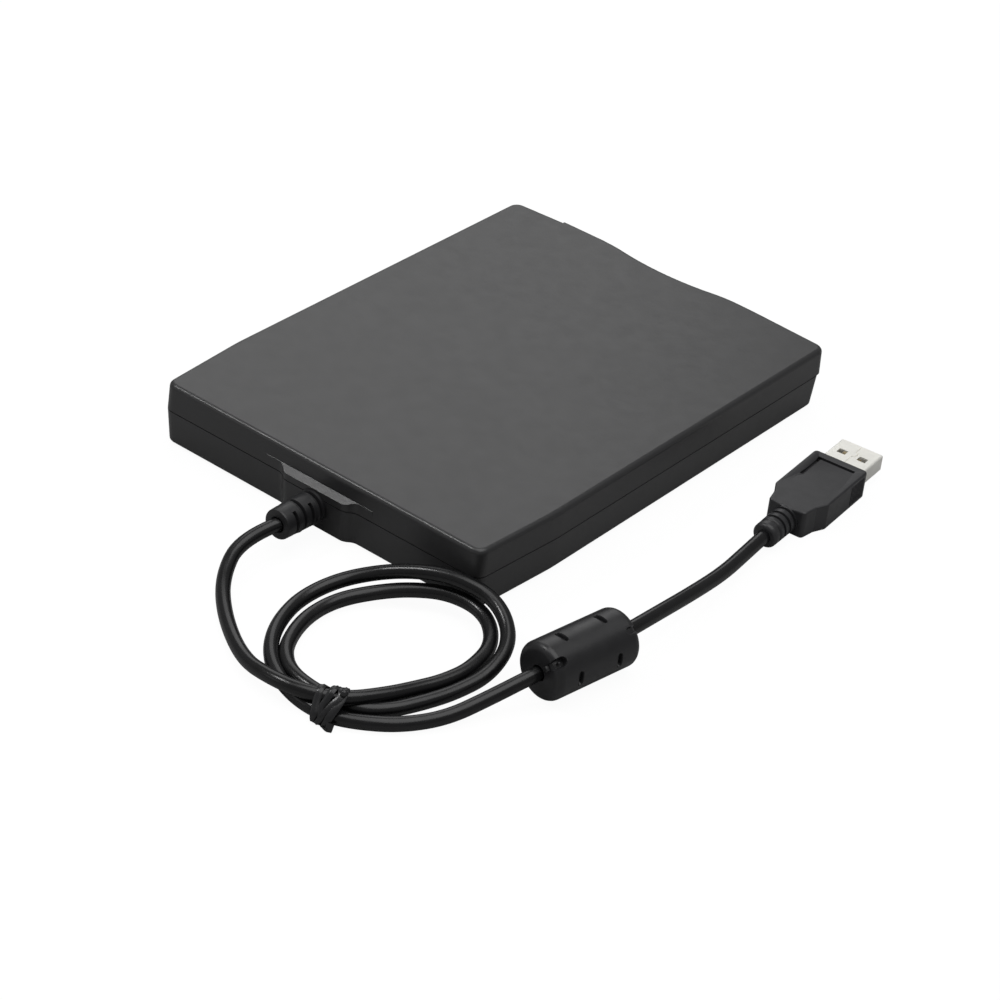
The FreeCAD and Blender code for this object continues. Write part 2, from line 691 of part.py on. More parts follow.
def revolve_y(profile, x, z):
    """A turned piece on an axis along Y; the profile lists (y, r) points."""
    y0, y1 = profile[0][0], profile[-1][0]
    points = [V(x, y0, z)] + [V(x, y, z + r) for y, r in profile] + [V(x, y1, z)]
    wire = Part.makePolygon(points + [points[0]])
    return Part.Face(wire).revolve(V(x, 0, z), ALONG_Y, 360)


def prism(points, height):
    return Part.Face(Part.makePolygon(points + [points[0]])).extrude(height)


def helix_spring(coil_r, wire_r, length, turns, at, axis):
    """A wound spring that starts at `at` and runs along `axis`; its wire has many flat sides."""
    path = Part.makeHelix(length / turns, length, coil_r)
    corners = []
    for i in range(WIRE_SIDES):
        turn = 2 * math.pi * i / WIRE_SIDES
        corners.append(V(coil_r + wire_r * math.cos(turn), 0, wire_r * math.sin(turn)))
    section = Part.makePolygon(corners + corners[:1])
    spring = Part.Wire(path.Edges).makePipeShell([section], True, True)
    if axis != UP:
        spring.rotate(ORIGIN, UP.cross(axis), 90)
    spring.translate(at)
    return spring


def local(at, yaw, shape):
    """Turns a shape about Z and moves it to its place."""
    shape.rotate(ORIGIN, UP, yaw)
    shape.translate(at)
    return shape


def save(name, shape):
    if not shape.isValid():
        print("not valid:", name)
    print(f"{name}: {len(shape.Solids)} solid(s), {shape.Volume:.2f} mm3")
    shape.exportStep("parts/" + name + ".step")


# ---- case outline ----
def arc(a, mid, b):
    return Part.Arc(a, mid, b).toShape()


def line(a, b):
    return Part.LineSegment(a, b).toShape()


def inset_corner(before, at, after, inset):
    """The corner of an anticlockwise outline, moved in by `inset` from both its sides."""
    a = (at - before).normalize()
    b = (after - at).normalize()
    in_a = V(-a.y, a.x, 0)
    in_b = V(-b.y, b.x, 0)
    return at + (in_a + in_b) * (inset / (1 + in_a.dot(in_b)))


def corner_arc(before, at, after, radius):
    """Start, middle and end of the arc that rounds a corner."""
    a = (at - before).normalize()
    b = (after - at).normalize()
    turn = a.getAngle(b)
    if turn < TOUCH or radius < TOUCH:
        return None
    cut = radius * math.tan(turn / 2)
    inward = (b - a).normalize()
    middle = at + inward * (radius / math.cos(turn / 2) - radius)
    return at - a * cut, middle, at + b * cut


def rounded_wire(corners, inset, z):
    """A closed outline of straight runs and tangent arcs; corners lists (x, y, radius)."""
    points = [V(x, y, z) for x, y, r in corners]
    count = len(points)
    around = [(points[i - 1], points[i], points[(i + 1) % count]) for i in range(count)]
    points = [inset_corner(*three, inset) for three in around]
    rounds = []
    for i in range(count):
        ends = corner_arc(points[i - 1], points[i], points[(i + 1) % count], corners[i][2])
        rounds.append(ends or (points[i], None, points[i]))
    edges = []
    for i in range(count):
        if rounds[i][1]:
            edges.append(arc(*rounds[i]))
        start = rounds[i][2]
        end = rounds[(i + 1) % count][0]
        if (end - start).Length > TOUCH:
            edges.append(line(start, end))
    return Part.Wire(edges)


def recess_corners(front):
    """The finger recess from left to right: a round shoulder, the hollow, a round shoulder."""
    slope = 2 * RECESS_DEPTH / RECESS_HALF
    turn = math.atan(slope)
    shoulder = (RECESS_HALF - RECESS_TURN) / 2
    shoulder_x = RECESS_HALF - shoulder
    shoulder_r = shoulder / math.tan(turn / 2) * ARC_SHARE
    hollow_r = RECESS_TURN / math.sin(turn) * ARC_SHARE
    left = (-shoulder_x, front, shoulder_r)
    return [left, (0, front + shoulder_x * slope, hollow_r), (shoulder_x, front, shoulder_r)]


def front_corners(back):
    """The front edge from left to right; its ends lean back from the brow to the corners."""
    brow = BROW_Y + back
    corner_y = FRONT_Y + back
    bend_x = RECESS_HALF + BROW_BEND / 2
    slope = (corner_y - brow) / (CASE_HALF - bend_x)
    bend_r = BROW_BEND / 2 / math.tan(math.atan(slope) / 2) * ARC_SHARE
    left = [(-CASE_HALF, corner_y, CORNER_R), (-bend_x, brow, bend_r)]
    right = [(-x, y, r) for x, y, r in reversed(left)]
    return left + recess_corners(brow) + right


def rear_corners(boss):
    """The tapered sides and the rear edge from right to left, with or without the boss."""
    corners = [(CASE_HALF, TAPER_Y, TAPER_R), (REAR_HALF, REAR_Y, CORNER_R)]
    if boss:
        corners += boss_corners(REAR_Y)
    return corners + [(-REAR_HALF, REAR_Y, CORNER_R), (-CASE_HALF, TAPER_Y, TAPER_R)]


def boss_corners(y):
    """The boss round the cable exit from right to left, standing out from `y` on S-shaped flanks."""
    quarter = BOSS_FLANK / 4
    foot_x = BOSS_HALF + 3 * quarter
    crest_x = BOSS_HALF + quarter
    turn = math.atan2(BOSS_OUT, foot_x - crest_x)
    radius = quarter / math.tan(turn / 2) * BOSS_ARC_SHARE
    right = [(foot_x, y, radius), (crest_x, y + BOSS_OUT, radius)]
    left = [(-x, py, r) for x, py, r in reversed(right)]
    return [(EXIT_X + x, py, r) for x, py, r in right + left]


def case_block(inset0, z0, inset1, z1, back, boss):
    corners = front_corners(back) + rear_corners(boss)
    outlines = [rounded_wire(corners, inset0, z0), rounded_wire(corners, inset1, z1)]
    return Part.makeLoft(outlines, True, True)


def upper_boss():
    """The part of the boss above the parting line: it ends in a slope that faces up."""
    y0 = REAR_Y - WALL / 2
    wall_y = REAR_Y - BOSS_LAP
    x0 = EXIT_X - 2 * BOSS_HALF
    x1 = EXIT_X + 2 * BOSS_HALF
    corners = [(x0, y0, 0), (x1, y0, 0), (x1, wall_y, 0)] + boss_corners(wall_y) + [(x0, wall_y, 0)]
    z0 = SPLIT_Z + SPLIT_GROOVE / 2
    block = Part.Face(rounded_wire(corners, 0, z0)).extrude(V(0, 0, BOSS_CREST_Z + PAST - z0))
    y = REAR_Y + BOSS_OUT
    fall = (BOSS_CREST_Z - BOSS_TOP_Z) / (BOSS_OUT + SLIDE_GAP)
    above = [
        V(x0 - PAST, y + PAST, BOSS_TOP_Z - fall * PAST),
        V(x0 - PAST, REAR_Y - SLIDE_GAP, BOSS_CREST_Z),
        V(x0 - PAST, y0 - PAST, BOSS_CREST_Z),
        V(x0 - PAST, y0 - PAST, TOP_Z),
        V(x0 - PAST, y + PAST, TOP_Z),
    ]
    return block.cut(prism(above, V(x1 - x0 + 2 * PAST, 0, 0)))


def brow_lip():
    """The flat part of the brow that hangs over the eject button, on the upper shell alone."""
    y1 = BEZEL_Y - LAP
    points = [
        V(RECESS_HALF, BROW_Y, BROW_Z),
        V(RECESS_HALF, y1, BROW_Z),
        V(RECESS_HALF, y1, TOP_Z),
        V(RECESS_HALF, BROW_Y + UPPER_DRAFT, TOP_Z),
    ]
    lip = prism(points, V(LIP_X - RECESS_HALF, 0, 0))
    front = [e for e in flat_edges(lip, TOP_Z) if e.BoundBox.YMax < BROW_Y + UPPER_DRAFT + SEAT_GAP]
    return lip.makeFillet(TOP_ROUND, front)


def flat_edges(shape, z):
    """The edges that lie level at height z."""
    return [e for e in shape.Edges if abs(e.BoundBox.ZMin - z) < TOUCH and abs(e.BoundBox.ZMax - z) < TOUCH]


def cavity(z0, z1, shrink):
    """The space inside the walls, as a prism drawn in by `shrink` from their inner faces."""
    half = INNER_HALF - shrink
    rear_half = REAR_HALF - WALL - shrink
    rear = INNER_REAR - shrink
    front = BEZEL_BACK + shrink
    points = [
        V(-half, front, z0),
        V(half, front, z0),
        V(half, TAPER_Y, z0),
        V(rear_half, rear, z0),
        V(-rear_half, rear, z0),
        V(-half, TAPER_Y, z0),
    ]
    return prism(points, V(0, 0, z1 - z0))


def case_posts():
    """(x, y, radius) of the posts for the case screws."""
    spots = []
    for side in SIDES:
        spots.append((side * REAR_POST_X, INNER_REAR - REAR_POST_R - REAR_POST_FORWARD, REAR_POST_R))
        spots.append((side * SIDE_POST_X, FRONT_Y + SIDE_POST_FROM_FRONT, SIDE_POST_R))
    return spots


def foot_spots():
    ys = (FRONT_Y + FOOT_FROM_FRONT, REAR_Y - FOOT_FROM_REAR)
    return [(side * FOOT_X, y) for side in SIDES for y in ys]


def chassis_screw_spots():
    ys = (CHASSIS_Y0 + CHASSIS_SCREW_FROM_FRONT, CHASSIS_Y1 - CHASSIS_SCREW_FROM_REAR)
    return [(side * CHASSIS_SCREW_X, y) for side in SIDES for y in ys]


def front_opening():
    y1 = BEZEL_BACK + FIT
    return box(-OPENING_HALF, OPENING_HALF, BROW_Y - PAST, y1, UNDERSIDE + LIP_H, BROW_Z)


def exit_hole():
    return rod_y(RELIEF_NECK_R + SEAT_GAP, EXIT_X, INNER_REAR - PAST, REAR_Y + BOSS_OUT + PAST, EXIT_Z)


def upper_shell():
    bottom = SPLIT_Z + SPLIT_GROOVE / 2
    shell = case_block(RIM_INSET, bottom, UPPER_DRAFT, TOP_Z, 0, False)
    shell = shell.makeFillet(TOP_ROUND, flat_edges(shell, TOP_Z))
    shell = shell.multiFuse([brow_lip(), upper_boss()])
    shell = shell.cut(cavity(bottom - PAST, CEILING_Z, 0))
    shell = shell.multiFuse([post(r, x, y, SPLIT_Z, CEILING_Z + POST_UP) for x, y, r in case_posts()])
    cuts = [front_opening(), exit_hole()]
    pilot_top = SPLIT_Z + CASE_SCREW_UP + PILOT_DEEPER
    for x, y, r in case_posts():
        cuts.append(post(CASE_SCREW_R + PILOT_FIT, x, y, SPLIT_Z - PAST, pilot_top))
    return cut_all(shell, cuts)


def tongue_ring(z1, shrink):
    """A ring along the inner faces of the walls, from below the parting line up to z1."""
    outer = cavity(SPLIT_Z - TONGUE_ROOT_H, z1, shrink)
    inner = cavity(SPLIT_Z - TONGUE_ROOT_H - PAST, z1 + PAST, SEAT_GAP + TONGUE_T)
    front = box(-CASE_HALF, CASE_HALF, BROW_Y, BEZEL_Y + TONGUE_START, FLOOR_Z, TOP_Z)
    clear = [post(r + SEAT_GAP, x, y, SPLIT_Z, TOP_Z) for x, y, r in case_posts()]
    return outer.cut(inner.multiFuse([front] + clear))


def tongue():
    """The rib on the lower shell's rim that laps inside the upper shell, and its root in the wall."""
    return [tongue_ring(SPLIT_Z + TONGUE_H, SEAT_GAP), tongue_ring(SPLIT_Z - SPLIT_GROOVE, -LAP)]


def floor_bosses():
    """The bosses under the chassis and under the interface board."""
    spots = [(CHASSIS_BOSS_R, x, y, PLATE_Z) for x, y in chassis_screw_spots()]
    for x in (INTERFACE_X0 + BOARD_BOSS_IN, INTERFACE_X1 - BOARD_BOSS_IN):
        spots.append((BOARD_BOSS_R, x, INTERFACE_Y, BOARD_Z))
    return [post(r, x, y, FLOOR_Z - POST_UP, z1) for r, x, y, z1 in spots]


def lower_shell():
    rim = SPLIT_Z - SPLIT_GROOVE / 2
    shell = case_block(LOWER_DRAFT, UNDERSIDE, RIM_INSET, rim, LOWER_SET_BACK, True)
    shell = shell.makeFillet(BOTTOM_ROUND, flat_edges(shell, UNDERSIDE))
    shell = shell.cut(cavity(FLOOR_Z, rim + PAST, 0))
    posts = [post(r, x, y, FLOOR_Z - POST_UP, SPLIT_Z) for x, y, r in case_posts()]
    shell = shell.multiFuse(posts + floor_bosses() + tongue() + [relief_cradle()])
    cuts = [front_opening(), exit_hole(), flange_pocket()]
    below = UNDERSIDE - PAST
    for x, y, r in case_posts():
        cuts.append(post(CASE_SCREW_R + SEAT_GAP, x, y, below, SPLIT_Z + PAST))
        cuts.append(post(CASE_SCREW_HEAD_R + SEAT_GAP, x, y, below, UNDERSIDE + CASE_SCREW_HEAD_H))
    for x, y in foot_spots():
        cuts.append(post(FOOT_R + SEAT_GAP, x, y, below, UNDERSIDE + FOOT_SEAT))
    for x, y in chassis_screw_spots():
        cuts.append(post(CHASSIS_SCREW_R + PILOT_FIT, x, y, FLOOR_Z, PLATE_Z + PAST))
    return cut_all(shell, cuts)


def flange_pocket():
    """Room for the relief's flange behind the rear wall."""
    y0 = RELIEF_FLANGE_Y - SEAT_GAP
    return rod_y(RELIEF_FLANGE_R + SEAT_GAP, EXIT_X, y0, INNER_REAR, EXIT_Z)


def relief_cradle():
    """The rib on the floor that holds the relief's flange."""
    y1 = RELIEF_FLANGE_Y - SEAT_GAP
    rib = box(EXIT_X - CRADLE_HALF, EXIT_X + CRADLE_HALF, y1 - CRADLE_T, y1, FLOOR_Z - LAP, EXIT_Z)
    return rib.cut(rod_y(RELIEF_NECK_R - CRADLE_HOLE, EXIT_X, y1 - CRADLE_T - PAST, y1 + PAST, EXIT_Z))


def case_screws():
    screws = []
    low = UNDERSIDE + CASE_SCREW_SUNK
    head_top = UNDERSIDE + CASE_SCREW_HEAD_H
    for x, y, r in case_posts():
        head = post(CASE_SCREW_HEAD_R, x, y, low, head_top)
        head = head.cut(post(DRIVE_R, x, y, low - PAST, low + DRIVE_DEPTH))
        shank = post(CASE_SCREW_R, x, y, head_top - LAP, SPLIT_Z + CASE_SCREW_UP)
        screws.append(fuse([head, shank]))
    return Part.makeCompound(screws)


def rubber_feet():
    feet = []
    for x, y in foot_spots():
        foot = post(FOOT_R, x, y, 0, UNDERSIDE + FOOT_SEAT)
        feet.append(foot.makeFillet(FOOT_ROUND, flat_edges(foot, 0)))
    return Part.makeCompound(feet)


# ---- bezel, door and button ----
def front_bezel():
    z0 = UNDERSIDE + LIP_H + BEZEL_GAP
    body = box(-BEZEL_HALF, BEZEL_HALF, BEZEL_Y, BEZEL_BACK, z0, BROW_Z - BEZEL_GAP)
    ear_z = FLOOR_Z + EAR_RISE
    y0, y1 = BEZEL_BACK - LAP, BEZEL_BACK + EAR_L
    for side in SIDES:
        body = body.fuse(side_box(side, BEZEL_HALF - EAR_T, BEZEL_HALF, y0, y1, ear_z, ear_z + EAR_H))
    front, back = BEZEL_Y - PAST, BEZEL_BACK + PAST
    mouth = box(-SLOT_HALF, SLOT_HALF, front, back, SLOT_Z, SLOT_TOP)
    bevel = prism(
        [
            V(-SLOT_HALF, BEZEL_Y - FIT, SLOT_TOP - FIT),
            V(-SLOT_HALF, BEZEL_Y - FIT, SLOT_TOP + SLOT_BEVEL_H),
            V(-SLOT_HALF, BEZEL_Y + SLOT_BEVEL_D, SLOT_TOP - FIT),
        ],
        V(2 * SLOT_HALF, 0, 0),
    )
    gap = BUTTON_GAP
    window = box(BUTTON_X0 - gap, BUTTON_X1 + gap, front, back, BUTTON_Z - gap, BUTTON_Z + BUTTON_H + gap)
    half_w, half_h = LIGHT_W / 2, LIGHT_H / 2
    light = box(LIGHT_X - half_w, LIGHT_X + half_w, front, back, LIGHT_Z - half_h, LIGHT_Z + half_h)
    return cut_all(body, [mouth, bevel, window, light])


def slot_flap():
    y, z = FLAP_AXIS_Y, FLAP_AXIS_Z
    half = SLOT_HALF - FLAP_SIDE
    parts = [box(-half, half, FLAP_Y, FLAP_Y + FLAP_T, z - FLAP_H, z)]
    for x in (BARREL_IN - half, 0, half - BARREL_IN):
        x0, x1 = x - BARREL_HALF, x + BARREL_HALF
        parts.append(rod_x(FLAP_PIN_R + BARREL_T, x0, x1, y, z))
        parts.append(box(x0, x1, FLAP_Y, y, z - BARREL_WEB, z))
    bore = rod_x(FLAP_PIN_R + FIT, -CASE_HALF, CASE_HALF, y, z)
    x0 = FLAP_SPRING_X - FLAP_SPRING_ROOM
    x1 = FLAP_SPRING_X + FLAP_SPRING_L + FLAP_SPRING_ROOM
    reach = FLAP_PIN_R + BARREL_T + FLAP_SPRING_ROOM
    room = box(x0, x1, FLAP_Y - PAST, y + reach, z - reach, z + reach)
    return cut_all(parts[0].multiFuse(parts[1:]), [bore, room])


def flap_pin():
    return rod_x(FLAP_PIN_R, -CHEEK_OUT, CHEEK_OUT, FLAP_AXIS_Y, FLAP_AXIS_Z)


def flap_spring():
    """The wound spring round the door's pin."""
    at = V(FLAP_SPRING_X, FLAP_AXIS_Y, FLAP_AXIS_Z)
    coil_r = FLAP_PIN_R + FLAP_SPRING_GAP + FLAP_SPRING_WIRE
    return helix_spring(coil_r, FLAP_SPRING_WIRE, FLAP_SPRING_L, FLAP_SPRING_TURNS, at, ALONG_X)


def eject_button():
    front = BEZEL_Y - BUTTON_PROUD
    body = box(BUTTON_X0, BUTTON_X1, front, BRACKET_Y, BUTTON_Z, BUTTON_Z + BUTTON_H)
    return body.makeFillet(BUTTON_ROUND, [e for e in body.Edges if abs(e.BoundBox.YMax - front) < TOUCH])


def activity_light():
    half_w = LIGHT_W / 2 - SEAT_GAP / 2
    z0 = LIGHT_Z - LIGHT_H / 2 + SEAT_GAP / 2
    z1 = LIGHT_Z + LIGHT_H / 2 - SEAT_GAP / 2
    y = BEZEL_BACK + LENS_BACK
    lens = box(LIGHT_X - half_w, LIGHT_X + half_w, BEZEL_Y - LENS_PROUD, y, z0, z1)
    stem = box(LIGHT_X - half_w, LIGHT_X + half_w, y - SEAT_GAP, y - SEAT_GAP + STEM_D, DECK_Z, z1)
    return fuse([lens, stem])


# ---- chassis ----
def chassis():
    parts = [box(-CHEEK_OUT, CHEEK_OUT, CHASSIS_Y0, CHASSIS_Y1, PLATE_Z, DECK_Z)] + spring_hooks()
    for side in SIDES:
        y1 = SLIDE_Y1 + CHEEK_PAST_SLIDE
        parts.append(side_box(side, CHEEK_IN, CHEEK_OUT, CHASSIS_Y0, y1, PLATE_Z, CHASSIS_TOP))
        # ears that hold the door's pin
        y1 = FLAP_AXIS_Y + EYE_REAR
        parts.append(side_box(side, CHEEK_IN, CHEEK_OUT, CHASSIS_Y0, y1, PLATE_Z, FLAP_AXIS_Z + EYE_TOP))
    cuts = [rod_x(FLAP_PIN_R, -CASE_HALF, CASE_HALF, FLAP_AXIS_Y, FLAP_AXIS_Z)]
    r = PIN_R + PIN_PLAY
    for y in PIN_YS:
        cuts.append(slot_x(r, y, PIN_Z, LIFT, -90, -CASE_HALF, CASE_HALF))
        # the slot is open at the top, so that the pins can be dropped in
        cuts.append(box(-CASE_HALF, CASE_HALF, y - r, y + r, PIN_Z, TOP_Z))
    for x, y, post_r in case_posts():
        cuts.append(post(post_r + SLIDE_GAP, x, y, PLATE_Z - PAST, TOP_Z))
    for x, y in chassis_screw_spots():
        cuts.append(post(CHASSIS_SCREW_R + SEAT_GAP, x, y, PLATE_Z - PAST, DECK_Z + PAST))
    cuts.append(post(BEARING_R, 0, HUB_Y, PLATE_Z - PAST, DECK_Z + PAST))
    return cut_all(parts[0].multiFuse(parts[1:]), cuts)


def chassis_screws():
    screws = []
    top = DECK_Z + CHASSIS_SCREW_HEAD_H
    for x, y in chassis_screw_spots():
        head = post(CHASSIS_SCREW_HEAD_R, x, y, DECK_Z, top)
        head = head.cut(post(DRIVE_R, x, y, top - DRIVE_DEPTH, top + PAST))
        shank = post(CHASSIS_SCREW_R, x, y, FLOOR_Z + CHASSIS_SCREW_DEPTH, DECK_Z + LAP)
        screws.append(fuse([head, shank]))
    return Part.makeCompound(screws)


# ---- disk holder, slide plate and what works them ----
def arm_cutout(z0, z1):
    return box(-CUTOUT_HALF, CUTOUT_HALF, CUTOUT_Y, SLIDE_Y1 + CUTOUT_REAR, z0 - PAST, z1 + PAST)


def disc_holder():
    top = box(-HOLDER_OUT, HOLDER_OUT, HOLDER_Y0, HOLDER_Y1, BAY_TOP, HOLDER_TOP)
    top = top.cut(arm_cutout(BAY_TOP, HOLDER_TOP))
    low = BAY_FLOOR - SHEET_T
    lip = HOLDER_IN - HOLDER_LIP
    walls = []
    for side in SIDES:
        walls.append(side_box(side, HOLDER_IN, HOLDER_OUT, HOLDER_Y0, HOLDER_Y1, low, HOLDER_TOP))
        walls.append(side_box(side, lip, HOLDER_OUT, HOLDER_Y0, HOLDER_Y1, low, BAY_FLOOR))
    return top.multiFuse(walls).removeSplitter()


def holder_pins():
    pins = []
    for y in PIN_YS:
        pins += mirrored(rod_x(PIN_R, HOLDER_OUT, CHEEK_OUT - FIT, y, PIN_Z))
    return Part.makeCompound(pins)


def slide_side(side):
    """A flange of the slide plate, and the two ears that run on the chassis."""
    parts = [side_box(side, FLANGE_IN, FLANGE_OUT, SLIDE_Y0, SLIDE_Y1, FLANGE_Z, SLIDE_TOP)]
    for y in (SLIDE_Y0 + RUNNER_FRONT, SLIDE_Y1 - RUNNER_REAR):
        parts.append(side_box(side, FLANGE_IN, CHEEK_OUT, y, y + RUNNER_L, SLIDE_Z, SLIDE_TOP))
    return parts


def button_bracket():
    """A bent tongue at the right that carries the button below the slot."""
    low = BUTTON_Z + BRACKET_IN
    high = BUTTON_Z + BUTTON_H - BRACKET_IN
    y = BRACKET_Y
    side = box(FLANGE_IN, FLANGE_OUT, y, SLIDE_Y0 + BRACKET_L, low, FLANGE_Z + FLANGE_LAP)
    return [side, box(BUTTON_X0 + BRACKET_SIDE, FLANGE_OUT, y, y + SHEET_T, low, high)]


def slide_plate():
    top = box(-FLANGE_OUT, FLANGE_OUT, SLIDE_Y0, SLIDE_Y1, SLIDE_Z, SLIDE_TOP)
    cuts = [arm_cutout(SLIDE_Z, SLIDE_TOP)]
    y0, y1 = SLIDE_Y0 + SLIDE_WINDOW_FRONT, CUTOUT_Y - SLIDE_WINDOW_REAR
    x0, x1 = SLIDE_WINDOW_X, DISC_HALF - SLIDE_WINDOW_EDGE
    for side in SIDES:
        cuts.append(side_box(side, x0, x1, y0, y1, SLIDE_Z - PAST, SLIDE_TOP + PAST))
    top = top.cut(cuts[0].multiFuse(cuts[1:]))
    body = top.multiFuse(slide_side(-1) + slide_side(1) + button_bracket() + spring_tabs())
    slots = []
    x = FLANGE_OUT + SEAT_GAP
    for y in PIN_YS:
        slots.append(slot_x(PIN_R + PIN_PLAY, y, PIN_Z, SLIDE_SLOT_LEN, SLIDE_SLOT_TILT, -x, x))
    return cut_all(body, slots)


def slide_springs():
    """The two springs that pull the slide plate forward, from the chassis hooks to its tabs."""
    springs = []
    for side in SIDES:
        at = V(side * SPRING_X, SPRING_Y0, SPRING_Z)
        springs.append(helix_spring(SPRING_R, SPRING_WIRE, SPRING_L, SPRING_TURNS, at, ALONG_Y))
    return Part.makeCompound(springs)


def spring_hooks():
    """Upright lugs of the chassis; each spring's front end stands against one."""
    y = SPRING_Y0 - SEAT_GAP - SPRING_WIRE
    x0, x1 = SPRING_X - HOOK_HALF, SPRING_X + HOOK_HALF
    return mirrored(box(x0, x1, y - CHASSIS_T, y, PLATE_Z, SPRING_Z + HOOK_OVER))


def spring_tabs():
    """The slide plate's flange reaches down behind the springs and in to them."""
    y = SPRING_Y1 + SPRING_WIRE + SEAT_GAP
    low = SPRING_Z - TAB_BELOW
    down = box(FLANGE_IN, FLANGE_OUT, y, y + TAB_ROOT, low, FLANGE_Z + FLANGE_LAP)
    across = box(SPRING_X - HOOK_HALF, FLANGE_OUT, y, y + TAB_T, low, SPRING_Z + TAB_OVER)
    return mirrored(down) + mirrored(across)


def trigger_lever():
    """The lever behind the disk: its tip stands in the disk's path until the disk pushes it back."""
    z0, z1 = LEVER_Z, LEVER_Z + LEVER_T
    pivot = V(LEVER_X, LEVER_Y, z0)
    tip = V(LEVER_X + LEVER_REACH, DISC_REAR_Y - LEVER_IN_PATH, z0)
    along = (tip - pivot).normalize()
    across = V(-along.y, along.x, 0)
    root, end = across * LEVER_ROOT_HALF, across * LEVER_TIP_HALF
    arm = prism([pivot - root, tip - end, tip + end, pivot + root], V(0, 0, LEVER_T))
    eye = post(LEVER_R, LEVER_X, LEVER_Y, z0, z1)
    nose = post(LEVER_NOSE_R, tip.x, tip.y, z0, z1)
    bore = post(PIVOT_R + FIT, LEVER_X, LEVER_Y, z0 - PAST, z1 + PAST)
    return eye.multiFuse([arm, nose]).cut(bore).removeSplitter()


def lever_pivot():
    foot = post(PIVOT_R + PIVOT_FOOT, LEVER_X, LEVER_Y, DECK_Z, LEVER_Z - SEAT_GAP)
    cap_z = LEVER_Z + LEVER_T + PIVOT_PLAY
    pin = post(PIVOT_R, LEVER_X, LEVER_Y, DECK_Z, cap_z + LAP)
    cap = post(PIVOT_R + PIVOT_CAP, LEVER_X, LEVER_Y, cap_z, cap_z + PIVOT_CAP_T)
    return fuse([foot, pin, cap])


def lever_spring():
    at = V(LEVER_X, LEVER_Y, DECK_Z + LEVER_SPRING_RISE)
    coil_r = PIVOT_R + PIVOT_FOOT + LEVER_SPRING_GAP + LEVER_SPRING_WIRE
    return helix_spring(coil_r, LEVER_SPRING_WIRE, LEVER_SPRING_L, LEVER_SPRING_TURNS, at, UP)


# ---- spindle motor ----
def motor_board():
    half = ROTOR_R + BOARD_PAST_ROTOR
    rear = HUB_Y + ROTOR_R + BOARD_REAR_PAST
    board = box(-half, half, HUB_Y - half, rear, DECK_Z, MOTOR_BOARD_Z)
    return board.cut(post(BEARING_R + SEAT_GAP, 0, HUB_Y, DECK_Z - PAST, MOTOR_BOARD_Z + PAST))


def spindle_bearing():
    sleeve = post(BEARING_R, 0, HUB_Y, PLATE_Z - BEARING_BELOW, CORE_TOP + BEARING_OVER)
    return sleeve.cut(post(SHAFT_R + FIT, 0, HUB_Y, PLATE_Z - BEARING_BELOW - PAST, ROTOR_Z + PAST))


def spokes(r_in, r_out, width, z0, z1, first):
    """Blocks that stand out round the spindle, one for each tooth."""
    shapes = []
    for i in range(TEETH):
        spoke = box(r_in, r_out, HUB_Y - width / 2, HUB_Y + width / 2, z0, z1)
        spoke.rotate(V(0, HUB_Y, 0), UP, first + i * 360.0 / TEETH)
        shapes.append(spoke)
    return shapes


def stator_core():
    ring = post(BEARING_R + YOKE_T, 0, HUB_Y, CORE_Z, CORE_TOP)
    tips = tube(STATOR_R, STATOR_R - TOOTH_TIP, 0, HUB_Y, CORE_Z, CORE_TOP)
    half_step = 180.0 / TEETH
    r_in, r_out = STATOR_R - TOOTH_TIP - PAST, STATOR_R + PAST
    gaps = spokes(r_in, r_out, TOOTH_GAP, CORE_Z - PAST, CORE_TOP + PAST, half_step)
    tips = tips.cut(gaps[0].multiFuse(gaps[1:]))
    teeth = spokes(BEARING_R + PAST, STATOR_R - TOOTH_TIP / 2, TOOTH_W, CORE_Z, CORE_TOP, 0)
    core = ring.multiFuse([tips] + teeth)
    return core.cut(post(BEARING_R, 0, HUB_Y, CORE_Z - PAST, CORE_TOP + PAST)).removeSplitter()


def stator_coils():
    r_in, r_out = [BEARING_R + share * (STATOR_R - BEARING_R) for share in COIL_SHARE]
    outer = spokes(r_in, r_out, COIL_W, CORE_Z - WINDING_T, CORE_TOP + WINDING_T, 0)
    inner = spokes(r_in - PAST, r_out + PAST, TOOTH_W, CORE_Z, CORE_TOP, 0)
    return Part.makeCompound([coil.cut(tooth) for coil, tooth in zip(outer, inner)])


def spindle_shaft():
    return post(SHAFT_R, 0, HUB_Y, PLATE_Z - SHAFT_BELOW, HUB_Z + SHAFT_OVER_HUB)


def rotor():
    cup = tube(ROTOR_R, SHAFT_R, 0, HUB_Y, ROTOR_Z, HUB_Z)
    rim = tube(ROTOR_R, MAGNET_R, 0, HUB_Y, CORE_Z, ROTOR_Z + LAP)
    return fuse([cup, rim])


def rotor_magnet():
    return tube(MAGNET_R, MAGNET_R - MAGNET_T, 0, HUB_Y, CORE_Z, ROTOR_Z)


def hub():
    disc = tube(HUB_R, SHAFT_R, 0, HUB_Y, HUB_Z, HUB_Z + HUB_T)
    return disc.cut(post(DRIVE_PIN_R, DRIVE_PIN_X, HUB_Y, HUB_Z - PAST, HUB_Z + HUB_T + PAST))


def drive_pin():
    return post(DRIVE_PIN_R, DRIVE_PIN_X, HUB_Y, HUB_Z, HUB_Z + DRIVE_PIN_H)


# ---- head positioner ----
def carriage_rods():
    return Part.makeCompound([rod_y(ROD_R, x, ROD_Y0, ROD_Y1, ROD_Z) for x in ROD_X])


